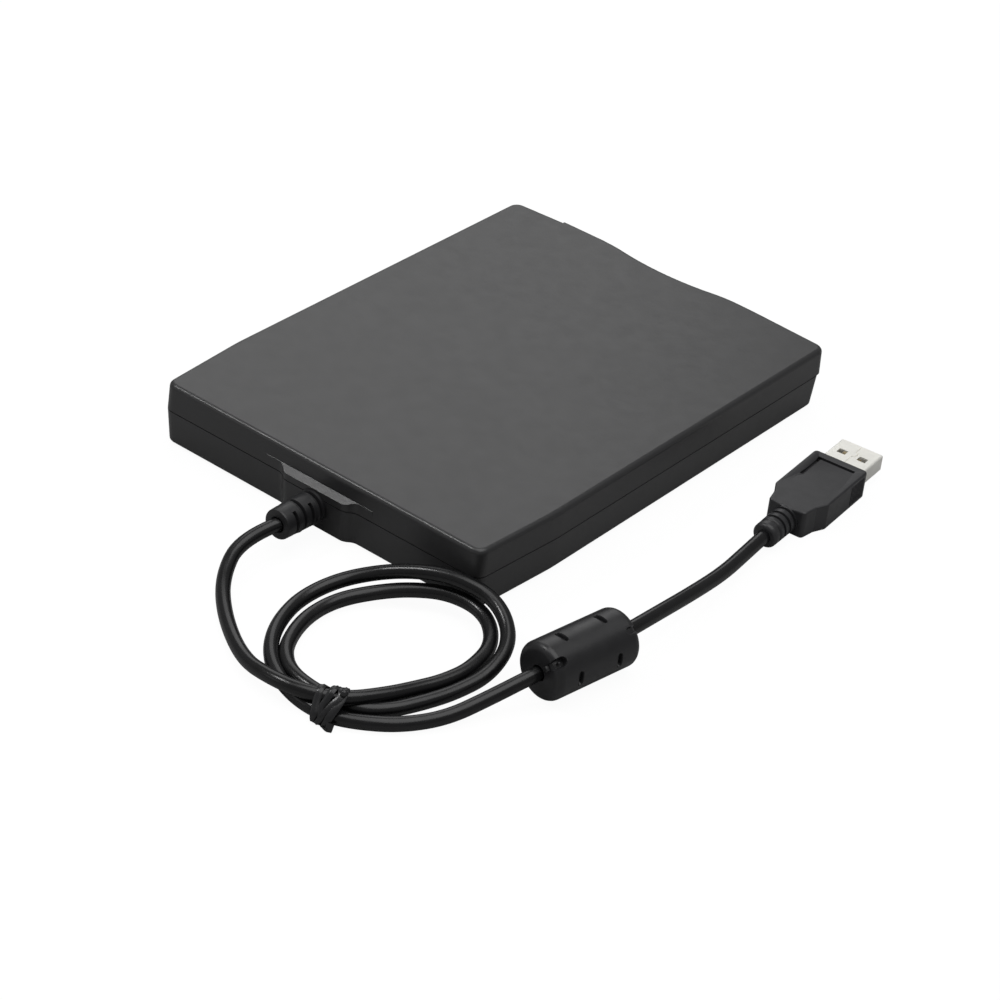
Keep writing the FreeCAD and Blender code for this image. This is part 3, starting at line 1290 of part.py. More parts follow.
def rod_clamps():
    clamps = []
    for x in ROD_X:
        for y in (ROD_Y0 + CLAMP_END, ROD_Y1 - CLAMP_END - CLAMP_L):
            block = box(x - CLAMP_HALF, x + CLAMP_HALF, y, y + CLAMP_L, DECK_Z, ROD_Z + CLAMP_OVER)
            clamps.append(block.cut(rod_y(ROD_R, x, y - PAST, y + CLAMP_L + PAST, ROD_Z)))
    return Part.makeCompound(clamps)


def head_carriage():
    """The sliding carriage: a low nose under the disk and a block behind it that holds the arm."""
    nose = box(-NOSE_HALF, NOSE_HALF, HEAD_Y - NOSE_FRONT, BLOCK_Y0 + PAST, CARRIAGE_Z, NOSE_TOP)
    block = box(BLOCK_X0, BLOCK_X1, BLOCK_Y0, CARRIAGE_Y1, CARRIAGE_Z, NOSE_TOP)
    parts = [block]
    fork = ARM_HALF + SLIDE_GAP
    for side in SIDES:
        y0 = ARM_PIVOT_Y - CARRIAGE_EDGE
        top = ARM_PIVOT_Z + FORK_OVER
        parts.append(side_box(side, fork, fork + FORK_T, y0, CARRIAGE_Y1, CARRIAGE_Z, top))
    y, half = FOLLOWER_Y, FOLLOWER_HALF
    x1 = SCREW_X - FINGER_ROOM
    parts.append(box(BLOCK_X1 - PAST, x1, y - half, y + half, CARRIAGE_Z, SCREW_Z + FOLLOWER_TOP))
    x2 = SCREW_X - SCREW_R - FIT
    z0, z1 = SCREW_Z - FINGER_H, SCREW_Z + FINGER_H
    parts.append(box(x1 - LAP, x2, y - FINGER_HALF, y + FINGER_HALF, z0, z1))
    cuts = [rod_x(ARM_PIN_R, BLOCK_X0, BLOCK_X1, ARM_PIVOT_Y, ARM_PIVOT_Z)]
    for x in ROD_X:
        cuts.append(rod_y(ROD_R + FIT, x, BLOCK_Y0 - PAST, CARRIAGE_Y1 + PAST, ROD_Z))
    y0, y1 = HEAD_Y + NOSE_POCKET_FRONT, BLOCK_Y0 - NOSE_POCKET_REAR
    cuts.append(box(-NOSE_POCKET_HALF, NOSE_POCKET_HALF, y0, y1, NOSE_TOP - NOSE_POCKET_D, NOSE_TOP + PAST))
    return cut_all(nose.multiFuse(parts), cuts)


def lower_head():
    return block_at(0, HEAD_Y, HEAD_HALF, HEAD_L / 2, NOSE_TOP, MEDIUM_Z)


def upper_head():
    """The upper head's face is level when the arm is down, so at rest it leans."""
    z = MEDIUM_Z + HEAD_GAP
    block = block_at(0, HEAD_Y, HEAD_HALF, HEAD_L / 2, z, z + HEAD_H)
    block.rotate(V(0, ARM_PIVOT_Y, ARM_PIVOT_Z), ALONG_X, -ARM_DROP)
    return block.cut(block_at(0, HEAD_Y, ARM_HALF, HEAD_L, ARM_Z, TOP_Z))


def upper_arm():
    plate = box(-ARM_HALF, ARM_HALF, HEAD_Y - NOSE_FRONT, ARM_PIVOT_Y, ARM_Z, ARM_Z + ARM_T)
    barrel = rod_x(ARM_EYE_R, -ARM_HALF, ARM_HALF, ARM_PIVOT_Y, ARM_PIVOT_Z)
    half = ARM_WINDOW_HALF
    y0, y1 = HEAD_Y + ARM_WINDOW_END, ARM_PIVOT_Y - ARM_WINDOW_END
    window = box(-half, half, y0, y1, ARM_Z - PAST, ARM_Z + ARM_T + PAST)
    bore = rod_x(ARM_PIN_R + FIT, BLOCK_X0, BLOCK_X1, ARM_PIVOT_Y, ARM_PIVOT_Z)
    return cut_all(plate.fuse(barrel), [window, bore])


def arm_pin():
    half = ARM_HALF + SLIDE_GAP + FORK_T
    return rod_x(ARM_PIN_R, -half, half, ARM_PIVOT_Y, ARM_PIVOT_Z)


def lead_screw():
    """A smooth shaft with a turned-down journal at its front; the thread is cut into it."""
    shoulder = SCREW_Y0 + BEARING_L + SEAT_GAP
    journal = rod_y(SCREW_R - SCREW_NECK, SCREW_X, SCREW_Y0 - JOURNAL_OUT, shoulder + LAP, SCREW_Z)
    return fuse([journal, rod_y(SCREW_R, SCREW_X, shoulder, MOTOR_Y0 + SCREW_IN_MOTOR, SCREW_Z)])


def screw_bearing():
    x0, x1 = SCREW_X - BEARING_HALF, SCREW_X + BEARING_HALF
    block = box(x0, x1, SCREW_Y0, SCREW_Y0 + BEARING_L, DECK_Z, SCREW_Z + BEARING_TOP)
    bore_r = SCREW_R - SCREW_NECK + FIT
    return block.cut(rod_y(bore_r, SCREW_X, SCREW_Y0 - PAST, SCREW_Y0 + BEARING_L + PAST, SCREW_Z))


def stepper_motor():
    can = rod_y(STEPPER_R, SCREW_X, MOTOR_Y0, MOTOR_Y1, SCREW_Z)
    x0, x1 = SCREW_X - STEPPER_R, SCREW_X + STEPPER_R
    y1 = MOTOR_Y0 + STEPPER_FLANGE_T
    flange = box(x0, x1, MOTOR_Y0, y1, DECK_Z, SCREW_Z + STEPPER_FLANGE_TOP)
    bore_end = MOTOR_Y0 + SCREW_IN_MOTOR + SLIDE_GAP
    return fuse([can, flange]).cut(rod_y(SCREW_R + FIT, SCREW_X, MOTOR_Y0 - PAST, bore_end, SCREW_Z))


# ---- switches ----
def switch_spots():
    """(name, x, y) of each switch."""
    return [(name, side * SWITCH_X, DISC_FRONT_Y + back) for name, side, back in SWITCH_SPOTS]


def switch_bodies():
    bodies = []
    for name, x, y in switch_spots():
        body = block_at(x, y, SWITCH_W / 2, SWITCH_D / 2, DECK_Z, SWITCH_TOP)
        bodies.append(body.cut(post(PLUNGER_R + FIT, x, y, DECK_Z + SWITCH_FLOOR, SWITCH_TOP + PAST)))
    return Part.makeCompound(bodies)


def plunger(x, y):
    stem = post(PLUNGER_R, x, y, DECK_Z + SWITCH_FLOOR + PLUNGER_TRAVEL + SEAT_GAP, PLUNGER_TOP)
    return stem.makeFillet(PLUNGER_ROUND, flat_edges(stem, PLUNGER_TOP))


# ---- boards ----
def control_board():
    board = box(CONTROL_X0, CONTROL_X1, CONTROL_Y0, CONTROL_Y1, BOARD_Z, BOARD_TOP)
    inner, outer = CONTROL_X0 + BOARD_FOOT_FROM_SIDE, CONTROL_X1 - BOARD_FOOT_IN
    rear, front = CONTROL_Y1 - BOARD_FOOT_IN, CONTROL_Y0 + BOARD_FOOT_IN
    feet = []
    for x, y in ((inner, rear), (outer, rear), (inner, front)):
        feet.append(post(BOARD_FOOT_R, x, y, DECK_Z, BOARD_Z))
    clear = [post(CHASSIS_BOSS_R, x, y, DECK_Z, TOP_Z) for x, y in chassis_screw_spots()]
    return cut_all(board.multiFuse(feet), clear)


def chip(x, y, size, pins):
    """A flat chip with pin rows along its two long sides."""
    w, d = size
    parts = [block_at(x, y, w / 2, d / 2, BOARD_TOP + CHIP_STAND, BOARD_TOP + CHIP_TOP)]
    pitch = w / pins
    half_leg = pitch * LEG_SHARE / 2
    for i in range(pins):
        leg_x = x - w / 2 + (i + 1 / 2) * pitch
        for side in SIDES:
            y0, y1 = sorted((y + side * (d / 2 - LAP), y + side * (d / 2 + LEG_OUT)))
            parts.append(box(leg_x - half_leg, leg_x + half_leg, y0, y1, BOARD_TOP, BOARD_TOP + LEG_H))
    return fuse(parts)


def control_chips():
    middle = (CONTROL_X0 + CONTROL_X1) / 2
    large = chip(middle + LARGE_CHIP_AT[0], CONTROL_Y0 + LARGE_CHIP_AT[1], LARGE_CHIP, LARGE_CHIP_PINS)
    small = chip(middle + SMALL_CHIP_AT[0], CONTROL_Y1 - SMALL_CHIP_AT[1], SMALL_CHIP, SMALL_CHIP_PINS)
    return Part.makeCompound([large, small])


def interface_board():
    return box(INTERFACE_X0, INTERFACE_X1, INTERFACE_Y0, INTERFACE_Y1, BOARD_Z, BOARD_TOP)


def interface_chips():
    bridge = chip(CRYSTAL_X - CRYSTAL_L, INTERFACE_Y, BRIDGE_CHIP, BRIDGE_CHIP_PINS)
    y0, y1 = INTERFACE_Y - CRYSTAL_HALF, INTERFACE_Y + CRYSTAL_HALF
    crystal = box(CRYSTAL_X, CRYSTAL_X + CRYSTAL_L, y0, y1, BOARD_TOP, BOARD_TOP + CRYSTAL_H)
    return Part.makeCompound([bridge, crystal])


def cable_header():
    y0, y1 = INTERFACE_Y - HEADER_HALF, INTERFACE_Y + HEADER_HALF
    return box(HEADER_X0, HEADER_X0 + HEADER_W, y0, y1, BOARD_TOP, BOARD_TOP + HEADER_H)


def flat_cable():
    """The flat flexible cable from the control board to the header on the interface board."""
    x1 = CONTROL_X1 - FLAT_IN
    y0, y1 = INTERFACE_Y - FLAT_W / 2, INTERFACE_Y + FLAT_W / 2
    top = BOARD_TOP + FLAT_T
    run = box(x1 - FLAT_W, x1, CONTROL_Y1 - FLAT_ON_BOARD, y1, BOARD_TOP, top)
    return fuse([run, box(x1 - FLAT_W, HEADER_X0, y0, y1, BOARD_TOP, top)])


def inner_leads():
    """The four leads of the cable, from the relief's flange to the header."""
    leads = []
    z = BOARD_TOP + INNER_LEAD_RISE
    for i in range(INNER_LEADS):
        step = (i - (INNER_LEADS - 1) / 2) * (2 * INNER_LEAD_R + INNER_LEAD_GAP)
        x = EXIT_X + INNER_LEAD_X + step
        y = INTERFACE_Y + INNER_LEAD_Y - step
        route = [V(x, RELIEF_FLANGE_Y, z), V(x, y, z), V(HEADER_X0, y, z)]
        leads.append(round_tube(rounded_path(route), INNER_LEAD_R))
    return Part.makeCompound(leads)


# ---- cable exit ----
def strain_relief():
    """The ribbed sleeve, from its flange inside the case to its free end."""
    seat = INNER_REAR - SEAT_GAP
    end = RELIEF_END.y
    profile = [
        (RELIEF_FLANGE_Y, RELIEF_FLANGE_R),
        (seat, RELIEF_FLANGE_R),
        (seat, RELIEF_NECK_R),
        (RELIEF_Y, RELIEF_NECK_R),
        (RELIEF_Y, RELIEF_R + RELIEF_ROOT),
        (end - RELIEF_END_L, RELIEF_R - RELIEF_WAIST),
        (end, RELIEF_R - RELIEF_END_IN),
    ]
    cuts = [rod_y(CORD_R + MOUTH_GAP, EXIT_X, end - MOUTH_L, end + PAST, EXIT_Z)]
    for i in range(RELIEF_GROOVES):
        y = RELIEF_Y - RELIEF_STAND + RELIEF_GROOVE_AT + i * RELIEF_PITCH
        y1 = y + RELIEF_GROOVE_W
        groove = rod_y(RELIEF_R + PAST, EXIT_X, y, y1, EXIT_Z)
        groove = groove.cut(rod_y(RELIEF_R - RELIEF_GROOVE_D, EXIT_X, y - PAST, y1 + PAST, EXIT_Z))
        if i % 2 == 1:
            # every other groove stops short of the top and bottom
            wide, half = RELIEF_R + 2 * PAST, RELIEF_R * RELIEF_GROOVE_SHARE
            sides = box(EXIT_X - wide, EXIT_X + wide, y - PAST, y1 + PAST, EXIT_Z - half, EXIT_Z + half)
            groove = groove.common(sides)
        cuts.append(groove)
    return cut_all(revolve_y(profile, EXIT_X, EXIT_Z), cuts)


# ---- lead ----
def axis_at(yaw):
    """The direction that leans `yaw` degrees from -Y."""
    a = math.radians(yaw)
    return V(math.sin(a), -math.cos(a), 0)


def behind(points):
    """Points whose y is measured from the rear wall."""
    return [V(x, REAR_Y + y, z) for x, y, z in points]


def lead_route():
    return [RELIEF_END - V(LEAD_START_X, MOUTH_L, 0)] + behind(LEAD_POINTS)


def tail_route():
    return behind(TAIL_POINTS) + [BEAD_REAR]


def plug_run_route():
    start = BEAD_REAR + axis_at(BEAD_YAW) * BEAD_LEN
    back = PLUG_BODY + PLUG_SHOULDER + PLUG_RELIEF
    end = PLUG_AT + V(0, 0, PLUG_MID_Z) - axis_at(PLUG_YAW) * back
    return [start] + behind(PLUG_RUN_POINTS) + [end]


def rounded_path(points):
    """Straight runs joined by tangent arcs, each as large as its two runs allow."""
    edges = []
    start = points[0]
    for before, at, after in zip(points, points[1:], points[2:]):
        a = (at - before).normalize()
        b = (after - at).normalize()
        cut = BEND_SHARE * min((at - before).Length, (after - at).Length)
        radius = cut / math.tan(a.getAngle(b) / 2)
        first = at - a * cut
        last = at + b * cut
        middle = at + (b - a).normalize() * (math.hypot(radius, cut) - radius)
        edges.append(line(start, first))
        edges.append(arc(first, middle, last))
        start = last
    edges.append(line(start, points[-1]))
    return Part.Wire(edges)


def round_tube(path, radius):
    start = path.Edges[0].firstVertex().Point
    heading = path.Edges[0].tangentAt(path.Edges[0].FirstParameter)
    section = Part.Wire(Part.makeCircle(radius, start, heading))
    return path.makePipeShell([section], True, False)


def cord_tube(name, points):
    path = rounded_path(points)
    radii = [e.Curve.Radius for e in path.Edges if isinstance(e.Curve, Part.Circle)]
    print(name, "radii:", ", ".join(f"{r:.0f}" for r in radii))
    solid = round_tube(path, CORD_R)
    share = solid.Volume / (path.Length * math.pi * CORD_R ** 2)
    print(f"{name}: length {path.Length:.1f}, volume ratio {share:.4f}")
    return solid


def turn_radius(turn, angle):
    """How far the axis of a turn lies from the coil's middle, at an angle in radians from +X."""
    mean, waves = turn
    return mean + sum(h * math.cos(n * (angle - math.radians(way))) for n, h, way in waves)


def turn_face(turn, grow):
    """The area inside a turn, `grow` larger than its axis."""
    points = []
    for i in range(COIL_STEPS):
        angle = 2 * math.pi * i / COIL_STEPS
        reach = turn_radius(turn, angle) + grow
        points.append(COIL_MID + V(reach * math.cos(angle), reach * math.sin(angle), 0))
    curve = Part.BSplineCurve()
    curve.interpolate(points, True)
    return Part.Face(Part.Wire(curve.toShape()))


def coil_body(grow):
    """A ring round both turns with a slanted top: it is higher where the turns lean on the case."""
    height = COIL_TOP_FAR + grow
    outer = turn_face(OUTER_TURN, CORD_R + grow).extrude(V(0, 0, height))
    inner = turn_face(INNER_TURN, -CORD_R - grow).extrude(V(0, 0, height))
    reach = 2 * OUTER_TURN[0]
    y0 = REAR_Y + COIL_TO_CASE
    y1 = COIL_MID.y + reach
    y_near = COIL_MID.y + OUTER_TURN[0]
    near = COIL_TOP_NEAR + grow
    x0 = COIL_MID.x - reach
    wedge = [V(x0, y0, 0), V(x0, y1, 0), V(x0, y1, near), V(x0, y_near, near), V(x0, y0, height)]
    return outer.cut(inner).common(prism(wedge, V(2 * reach, 0, 0)))


def tie_slab():
    """The space across the strands that the tie takes up."""
    slab = block_at(0, 0, TIE_HALF, TIE_W / 2, -PAST, COIL_TOP_FAR)
    return local(TIE_AT, TIE_YAW, slab)


def tie_floor():
    return block_at(TIE_AT.x, TIE_AT.y, TIE_FLOOR_HALF, TIE_FLOOR_HALF, -PAST, TIE_T)


def cord_coil():
    """The outer shape of the two turns, with room below for the tie."""
    return coil_body(0).cut(tie_slab().common(tie_floor()))


def twist_tie():
    """A flat band round the strands."""
    kept = coil_body(0).cut(tie_floor())
    return coil_body(TIE_T).common(tie_slab()).cut(kept)


def ferrite_bead():
    body = Part.makeCylinder(BEAD_R, BEAD_LEN, ORIGIN, -ALONG_Y)
    body = body.makeFillet(BEAD_ROUND, [e for e in body.Edges if len(e.Vertexes) == 1 and e.Closed])
    cuts = []
    for station in BEAD_SLOT_AT:
        for turn in (-BEAD_SLOT_TURN, BEAD_SLOT_TURN):
            z0 = BEAD_R - BEAD_SLOT_D
            slot = block_at(0, -station, BEAD_SLOT_HALF, BEAD_SLOT_W / 2, z0, BEAD_R + PAST)
            slot.rotate(ORIGIN, ALONG_Y, turn)
            cuts.append(slot)
    near, far = BEAD_WINDOW_Y
    half = BEAD_WINDOW_HALF
    window = box(-half, half, -far, -near, BEAD_R - BEAD_WINDOW_D, BEAD_R + PAST)
    upright = [e for e in window.Edges if e.BoundBox.ZLength > PAST]
    cuts.append(window.makeFillet(BEAD_WINDOW_ROUND, upright))
    body = body.cut(cuts[0].multiFuse(cuts[1:]))
    body.rotate(ORIGIN, ALONG_Y, -BEAD_ROLL)
    return local(BEAD_REAR, BEAD_YAW, body)


# ---- plug, drawn with its front face at y = 0 and its tip towards -Y ----
def plug_outline():
    half = PLUG_HALF
    y1, y2 = PLUG_BODY, PLUG_BODY + PLUG_SHOULDER
    bend = V(half - PLUG_KINK_IN, y1 + PLUG_SHOULDER * PLUG_KINK_SHARE, 0)
    right = [V(half, 0, 0), V(half, y1, 0), bend, V(PLUG_NECK_HALF, y2, 0)]
    return right + [V(-p.x, p.y, 0) for p in reversed(right)]


def plug_sleeve():
    """The relief behind the plug's shoulders."""
    y2 = PLUG_BODY + PLUG_SHOULDER
    end = y2 + PLUG_RELIEF
    return revolve_y([
        (y2 - PAST, PLUG_RELIEF_R),
        (end - PLUG_RELIEF_END, PLUG_RELIEF_R - PLUG_RELIEF_WAIST),
        (end, PLUG_RELIEF_R - PLUG_RELIEF_END),
    ], 0, PLUG_MID_Z)


def plug_cuts():
    """Rings in the relief, a mark on top, grip ribs on the sides, and the hole for the shell."""
    cuts = []
    for i in range(PLUG_RINGS):
        y = PLUG_BODY + PLUG_SHOULDER + PLUG_RING_AT + i * PLUG_RING_PITCH
        y1 = y + PLUG_RING_W
        ring = rod_y(PLUG_RELIEF_R + PAST, 0, y, y1, PLUG_MID_Z)
        cuts.append(ring.cut(rod_y(PLUG_RELIEF_R - PLUG_RING_D, 0, y - PAST, y1 + PAST, PLUG_MID_Z)))
    low, high = PLUG_T - PLUG_MARK_D, PLUG_T + PAST
    half, y = PLUG_MARK_HALF, PLUG_MARK_AT
    cuts.append(box(-half, half, y, y + PLUG_MARK_W, low, high))
    cuts.append(box(half - PLUG_MARK_W, half, y, y + PLUG_MARK_L, low, high))
    for i in range(PLUG_RIBS):
        y = PLUG_RIB_AT + i * PLUG_RIB_PITCH
        x0, x1 = PLUG_HALF - PLUG_RIB_D, PLUG_HALF + PAST
        cuts += mirrored(box(x0, x1, y, y + PLUG_RIB_W, PLUG_RIB_END, PLUG_T - PLUG_RIB_END))
    cuts.append(shell_space(-PAST, 0))
    return cuts


def shell_space(y0, inset):
    """The room that the shell takes from y0 to its inner end, drawn in by `inset`."""
    half_w, half_h = SHELL_W / 2 - inset, SHELL_H / 2 - inset
    return box(-half_w, half_w, y0, SHELL_IN, PLUG_MID_Z - half_h, PLUG_MID_Z + half_h)


def plug_overmould():
    body = prism(plug_outline(), V(0, 0, PLUG_T))
    body = body.makeFillet(PLUG_CORNER, [e for e in body.Edges if e.BoundBox.ZLength > TOUCH])
    body = body.makeFillet(PLUG_ROUND, [e for e in body.Edges if e.BoundBox.ZLength < TOUCH])
    return local(PLUG_AT, PLUG_YAW, cut_all(body.fuse(plug_sleeve()), plug_cuts()))


def plug_shell():
    outer = shell_space(-SHELL_OUT, 0)
    outer = outer.makeFillet(SHELL_ROUND, [e for e in outer.Edges if e.BoundBox.YLength > SHELL_OUT])
    inner = shell_space(-SHELL_OUT - PAST, SHELL_T)
    inner = inner.fuse(inner.translated(ALONG_Y * 2 * PAST))
    cuts = [inner]
    near, far = SHELL_WINDOW_Y
    for side in SIDES:
        x = side * SHELL_WINDOW_X
        x0, x1 = x - SHELL_WINDOW_HALF, x + SHELL_WINDOW_HALF
        cuts.append(box(x0, x1, -far, -near, PLUG_MID_Z - SHELL_H, PLUG_MID_Z + SHELL_H))
    return local(PLUG_AT, PLUG_YAW, outer.cut(cuts[0].multiFuse(cuts[1:])))


def plug_insert():
    floor = PLUG_MID_Z - SHELL_H / 2 + SHELL_T
    half = SHELL_W / 2 - SHELL_T - FIT
    tongue_block = box(-half, half, INSERT_BACK - SHELL_OUT, SHELL_IN, floor, floor + INSERT_T)
    top = PLUG_MID_Z + SHELL_H / 2 - SHELL_T
    root = box(-half, half, INSERT_ROOT, SHELL_IN, floor, top)
    return local(PLUG_AT, PLUG_YAW, fuse([tongue_block, root]))


def plug_contacts():
    z = PLUG_MID_Z - SHELL_H / 2 + SHELL_T + INSERT_T
    strips = []
    for x, back in zip(CONTACT_XS, CONTACT_BACK):
        x0, x1 = x - CONTACT_W / 2, x + CONTACT_W / 2
        strips.append(box(x0, x1, back - SHELL_OUT, INSERT_ROOT, z, z + CONTACT_T))
    return local(PLUG_AT, PLUG_YAW, Part.makeCompound(strips))


PIECES = (
    upper_shell, lower_shell, case_screws, rubber_feet, front_bezel, slot_flap, flap_pin, flap_spring,
    eject_button, activity_light, chassis, chassis_screws, disc_holder, holder_pins, slide_plate,
    slide_springs, trigger_lever, lever_pivot, lever_spring, motor_board, spindle_bearing, stator_core,
    stator_coils, spindle_shaft, rotor, rotor_magnet, hub, drive_pin, carriage_rods, rod_clamps,
    head_carriage, lower_head, upper_arm, upper_head, arm_pin, lead_screw, screw_bearing, stepper_motor,
    switch_bodies, control_board, control_chips, interface_board, interface_chips, cable_header,
    flat_cable, inner_leads, strain_relief, cord_coil, twist_tie, ferrite_bead, plug_overmould,
    plug_shell, plug_insert, plug_contacts,
)
CORDS = {"cord_lead": lead_route, "cord_tail": tail_route, "cord_plug_run": plug_run_route}


def build():
    os.makedirs("parts", exist_ok=True)
    for piece in PIECES:
        save(piece.__name__, piece())
    for name, x, y in switch_spots():
        save(name + "_plunger", plunger(x, y))
    for name, route in CORDS.items():
        save(name, cord_tube(name, route()))


build()
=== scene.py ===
import math

import bmesh
import bpy
from mathutils import Matrix, Vector, geometry


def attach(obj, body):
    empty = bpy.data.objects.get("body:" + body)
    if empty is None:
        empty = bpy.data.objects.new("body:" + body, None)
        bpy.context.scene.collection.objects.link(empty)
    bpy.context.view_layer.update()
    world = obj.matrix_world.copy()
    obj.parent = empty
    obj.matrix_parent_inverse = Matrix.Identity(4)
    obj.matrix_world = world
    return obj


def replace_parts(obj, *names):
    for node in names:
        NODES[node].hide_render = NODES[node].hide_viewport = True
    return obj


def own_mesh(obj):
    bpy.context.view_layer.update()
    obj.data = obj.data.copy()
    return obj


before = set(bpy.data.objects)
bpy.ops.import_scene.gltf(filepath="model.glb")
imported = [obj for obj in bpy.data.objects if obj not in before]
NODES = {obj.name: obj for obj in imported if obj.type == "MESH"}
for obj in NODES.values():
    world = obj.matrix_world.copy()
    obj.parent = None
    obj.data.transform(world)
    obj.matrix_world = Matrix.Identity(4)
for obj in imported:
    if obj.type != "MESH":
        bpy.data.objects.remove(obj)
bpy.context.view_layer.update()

bl_info = {
    "name": "Disk Drive Dresser",
    "version": (1, 0, 0),
    "blender": (4, 5, 0),
    "location": "3D View > Sidebar > Disk Drive",
    "description": "Dresses a slim external disk drive: cable, tie, finishes, camera and light",
    "category": "Object",
}

MM = 0.001

# ---- the cable's route, in millimetres, from the relief to the plug ----
LEAD_POINTS = [
    (-1.0, 83.2, 7.5), (2.3, 93.4, 6.2), (-2.8, 105.0, 3.0), (-13.4, 114.9, 1.85),
    (-27.4, 123.9, 2.7), (-38.0, 126.4, 4.8), (-46.6, 125.6, 5.2),
]
INNER_TURN_POINTS = [
    (-54.5, 120.4, 4.48), (-59.2, 111.0, 3.56), (-61.5, 103.8, 2.73), (-63.8, 97.2, 2.36),
    (-65.3, 89.0, 2.54), (-63.6, 79.0, 3.37), (-55.6, 72.1, 4.65), (-45.2, 72.7, 5.13),
    (-36.8, 77.5, 4.21), (-30.6, 83.3, 2.86), (-26.3, 90.4, 2.05), (-25.4, 98.6, 1.83),
    (-27.3, 106.8, 1.75), (-31.5, 114.8, 1.75), (-39.4, 119.9, 1.87),
]
OUTER_TURN_POINTS = [
    (-55.1, 119.6, 1.75), (-61.9, 113.3, 1.81), (-65.4, 105.4, 1.84), (-68.0, 97.5, 1.96),
    (-70.0, 87.8, 3.01), (-67.2, 77.0, 5.56), (-57.8, 71.0, 8.7), (-46.9, 72.4, 10.21),
    (-38.0, 75.2, 8.87), (-29.2, 78.6, 5.85), (-22.1, 85.7, 3.24), (-19.7, 95.6, 1.94),
    (-21.9, 105.4, 1.75), (-26.6, 114.1, 1.75), (-34.1, 121.1, 1.79), (-44.1, 124.9, 1.75),
]
TAIL_POINTS = [
    (-53.2, 124.9, 1.8), (-59.8, 121.6, 1.8), (-67.1, 115.5, 1.8), (-72.8, 106.4, 2.1),
    (-76.4, 95.6, 4.2), (-80.45, 84.3, 7.25),
]
PLUG_RUN_POINTS = [
    (-84.53, 59.13, 7.25), (-84.9, 45.4, 6.7), (-84.6, 31.2, 5.2), (-84.0, 17.4, 4.0),
    (-82.5, 6.2, 3.6), (-81.48, -3.33, 3.75),
]

# ---- the strain relief, in millimetres, from its shoulder at the case to its free end ----
RELIEF_AT = (-0.9, 71.8, 7.25)
RELIEF_TIP = (-0.95, 84.3, 7.5)
RELIEF_R = 3.95
# where each groove starts, its width, and whether it goes all the way round
RELIEF_GROOVES = ((0.95, 0.9, True), (3.6, 0.9, False), (6.25, 0.9, True), (8.9, 0.9, False))
RELIEF_GROOVE_D = 0.9
RELIEF_LIP = 0.12
RELIEF_EDGE = 0.06  # half the width over which a groove's wall falls
RELIEF_BRIDGE = 34.0  # degrees from the top, and from the bottom, at which side grooves begin

# ---- the bead, drawn from its rear end ----
BEAD_AT = (-80.45, 84.3, 7.25)
BEAD_YAW = math.radians(-9.2)
BEAD_R = 7.25
BEAD_LEN = 25.5
BEAD_ROUND = 1.8
BEAD_SEAM = 43.0  # degrees from the top to its window and its pocket
BEAD_WINDOW = (2.3, 1.0, 1.7)  # where it ends, half its width, and its depth
BEAD_POCKET = (22.9, 0.6, 0.6)  # where it starts, half its width, and its depth
# a square nib on the rear face, and a post in the window: off the axis, along it, and size
BEAD_POSTS = ((4.2, -0.5, (1.3, 0.9, 1.2)), (6.2, 1.7, (0.5, 0.6, 1.1)))
# the slots: place along the bead and degrees from the top
BEAD_SLOTS = ((6.6, -4.0), (18.6, -4.0), (6.6, 90.0), (18.6, 90.0))
BEAD_SLOT_HALF = 1.85
BEAD_SLOT_W = 1.35
BEAD_SLOT_D = 1.0

# ---- the plug, drawn with its front face at y = 0 and its tip towards -Y ----
PLUG_AT = (-78.2, -41.6, 0.0)
PLUG_YAW = math.radians(4.9)
PLUG_HALF = 7.65
PLUG_T = 7.5
# the groove in its top: one arm along the front, one along a side
PLUG_MARK_AT = 2.5
PLUG_MARK_HALF = 5.25
PLUG_MARK_L = 10.1
PLUG_MARK_W = 1.05
PLUG_MARK_D = 0.85
GRIP_COUNT = 9
GRIP_AT = 1.9
GRIP_PITCH = 0.75
GRIP_HALF = (0.16, 0.17)
GRIP_END = 1.1
SHELL_W = 12.0
SHELL_H = 4.5
SHELL_OUT = 11.3
SHELL_IN = 8.3
SHELL_WALL = 0.3
SHELL_WINDOW_X = 2.9
SHELL_WINDOW_HALF = 1.2
SHELL_WINDOW_Y = (-6.9, -4.9)
# the seam runs straight, widens into a tail, and runs on
SEAM = (
    (0.0, -SHELL_OUT - 1), (0.0, -7.9), (-0.9, -7.5), (-0.9, -6.0), (0.0, -5.6), (0.0, 1.0),
)
SEAM_HALF_W = 0.1
SEAM_D = 0.2

# ---- the tie round the three strands ----
TIE_AT = (-52.4, 122.8, 0.0)
TIE_ALONG = (-0.9, -0.44, 0.0)
# each band: turn round the bundle from the top towards the front, place along it, height off it
TIE_BANDS = (
    (
        (-60, -1.2, 0.0), (-20, -2.0, 0.0), (20, -2.4, 0.0), (70, -2.5, 0.0), (120, -2.3, 0.1),
        (170, -2.0, 0.0), (230, -1.6, 0.0), (290, -0.2, 0.0), (340, 1.6, 0.2), (378, 2.7, 0.7),
        (412, 1.5, 0.9), (446, -0.2, 0.8), (480, -1.7, 0.5), (500, -1.5, 1.5), (490, -0.2, 2.4),
        (474, 1.3, 2.2), (455, 1.9, 1.2),
    ),
    (
        (-70, 0.8, 0.0), (-30, 1.2, 0.2), (5, 0.6, 0.5), (40, -0.3, 0.2), (80, -1.0, 0.0),
        (130, -0.2, 0.0), (180, 0.6, 0.0), (240, 1.4, 0.0), (300, 2.4, 0.2), (345, 3.1, 0.4),
        (385, 3.2, 0.5), (420, 2.3, 0.9), (450, 1.1, 1.0), (475, 0.3, 1.3), (492, 0.8, 2.0),
    ),
)
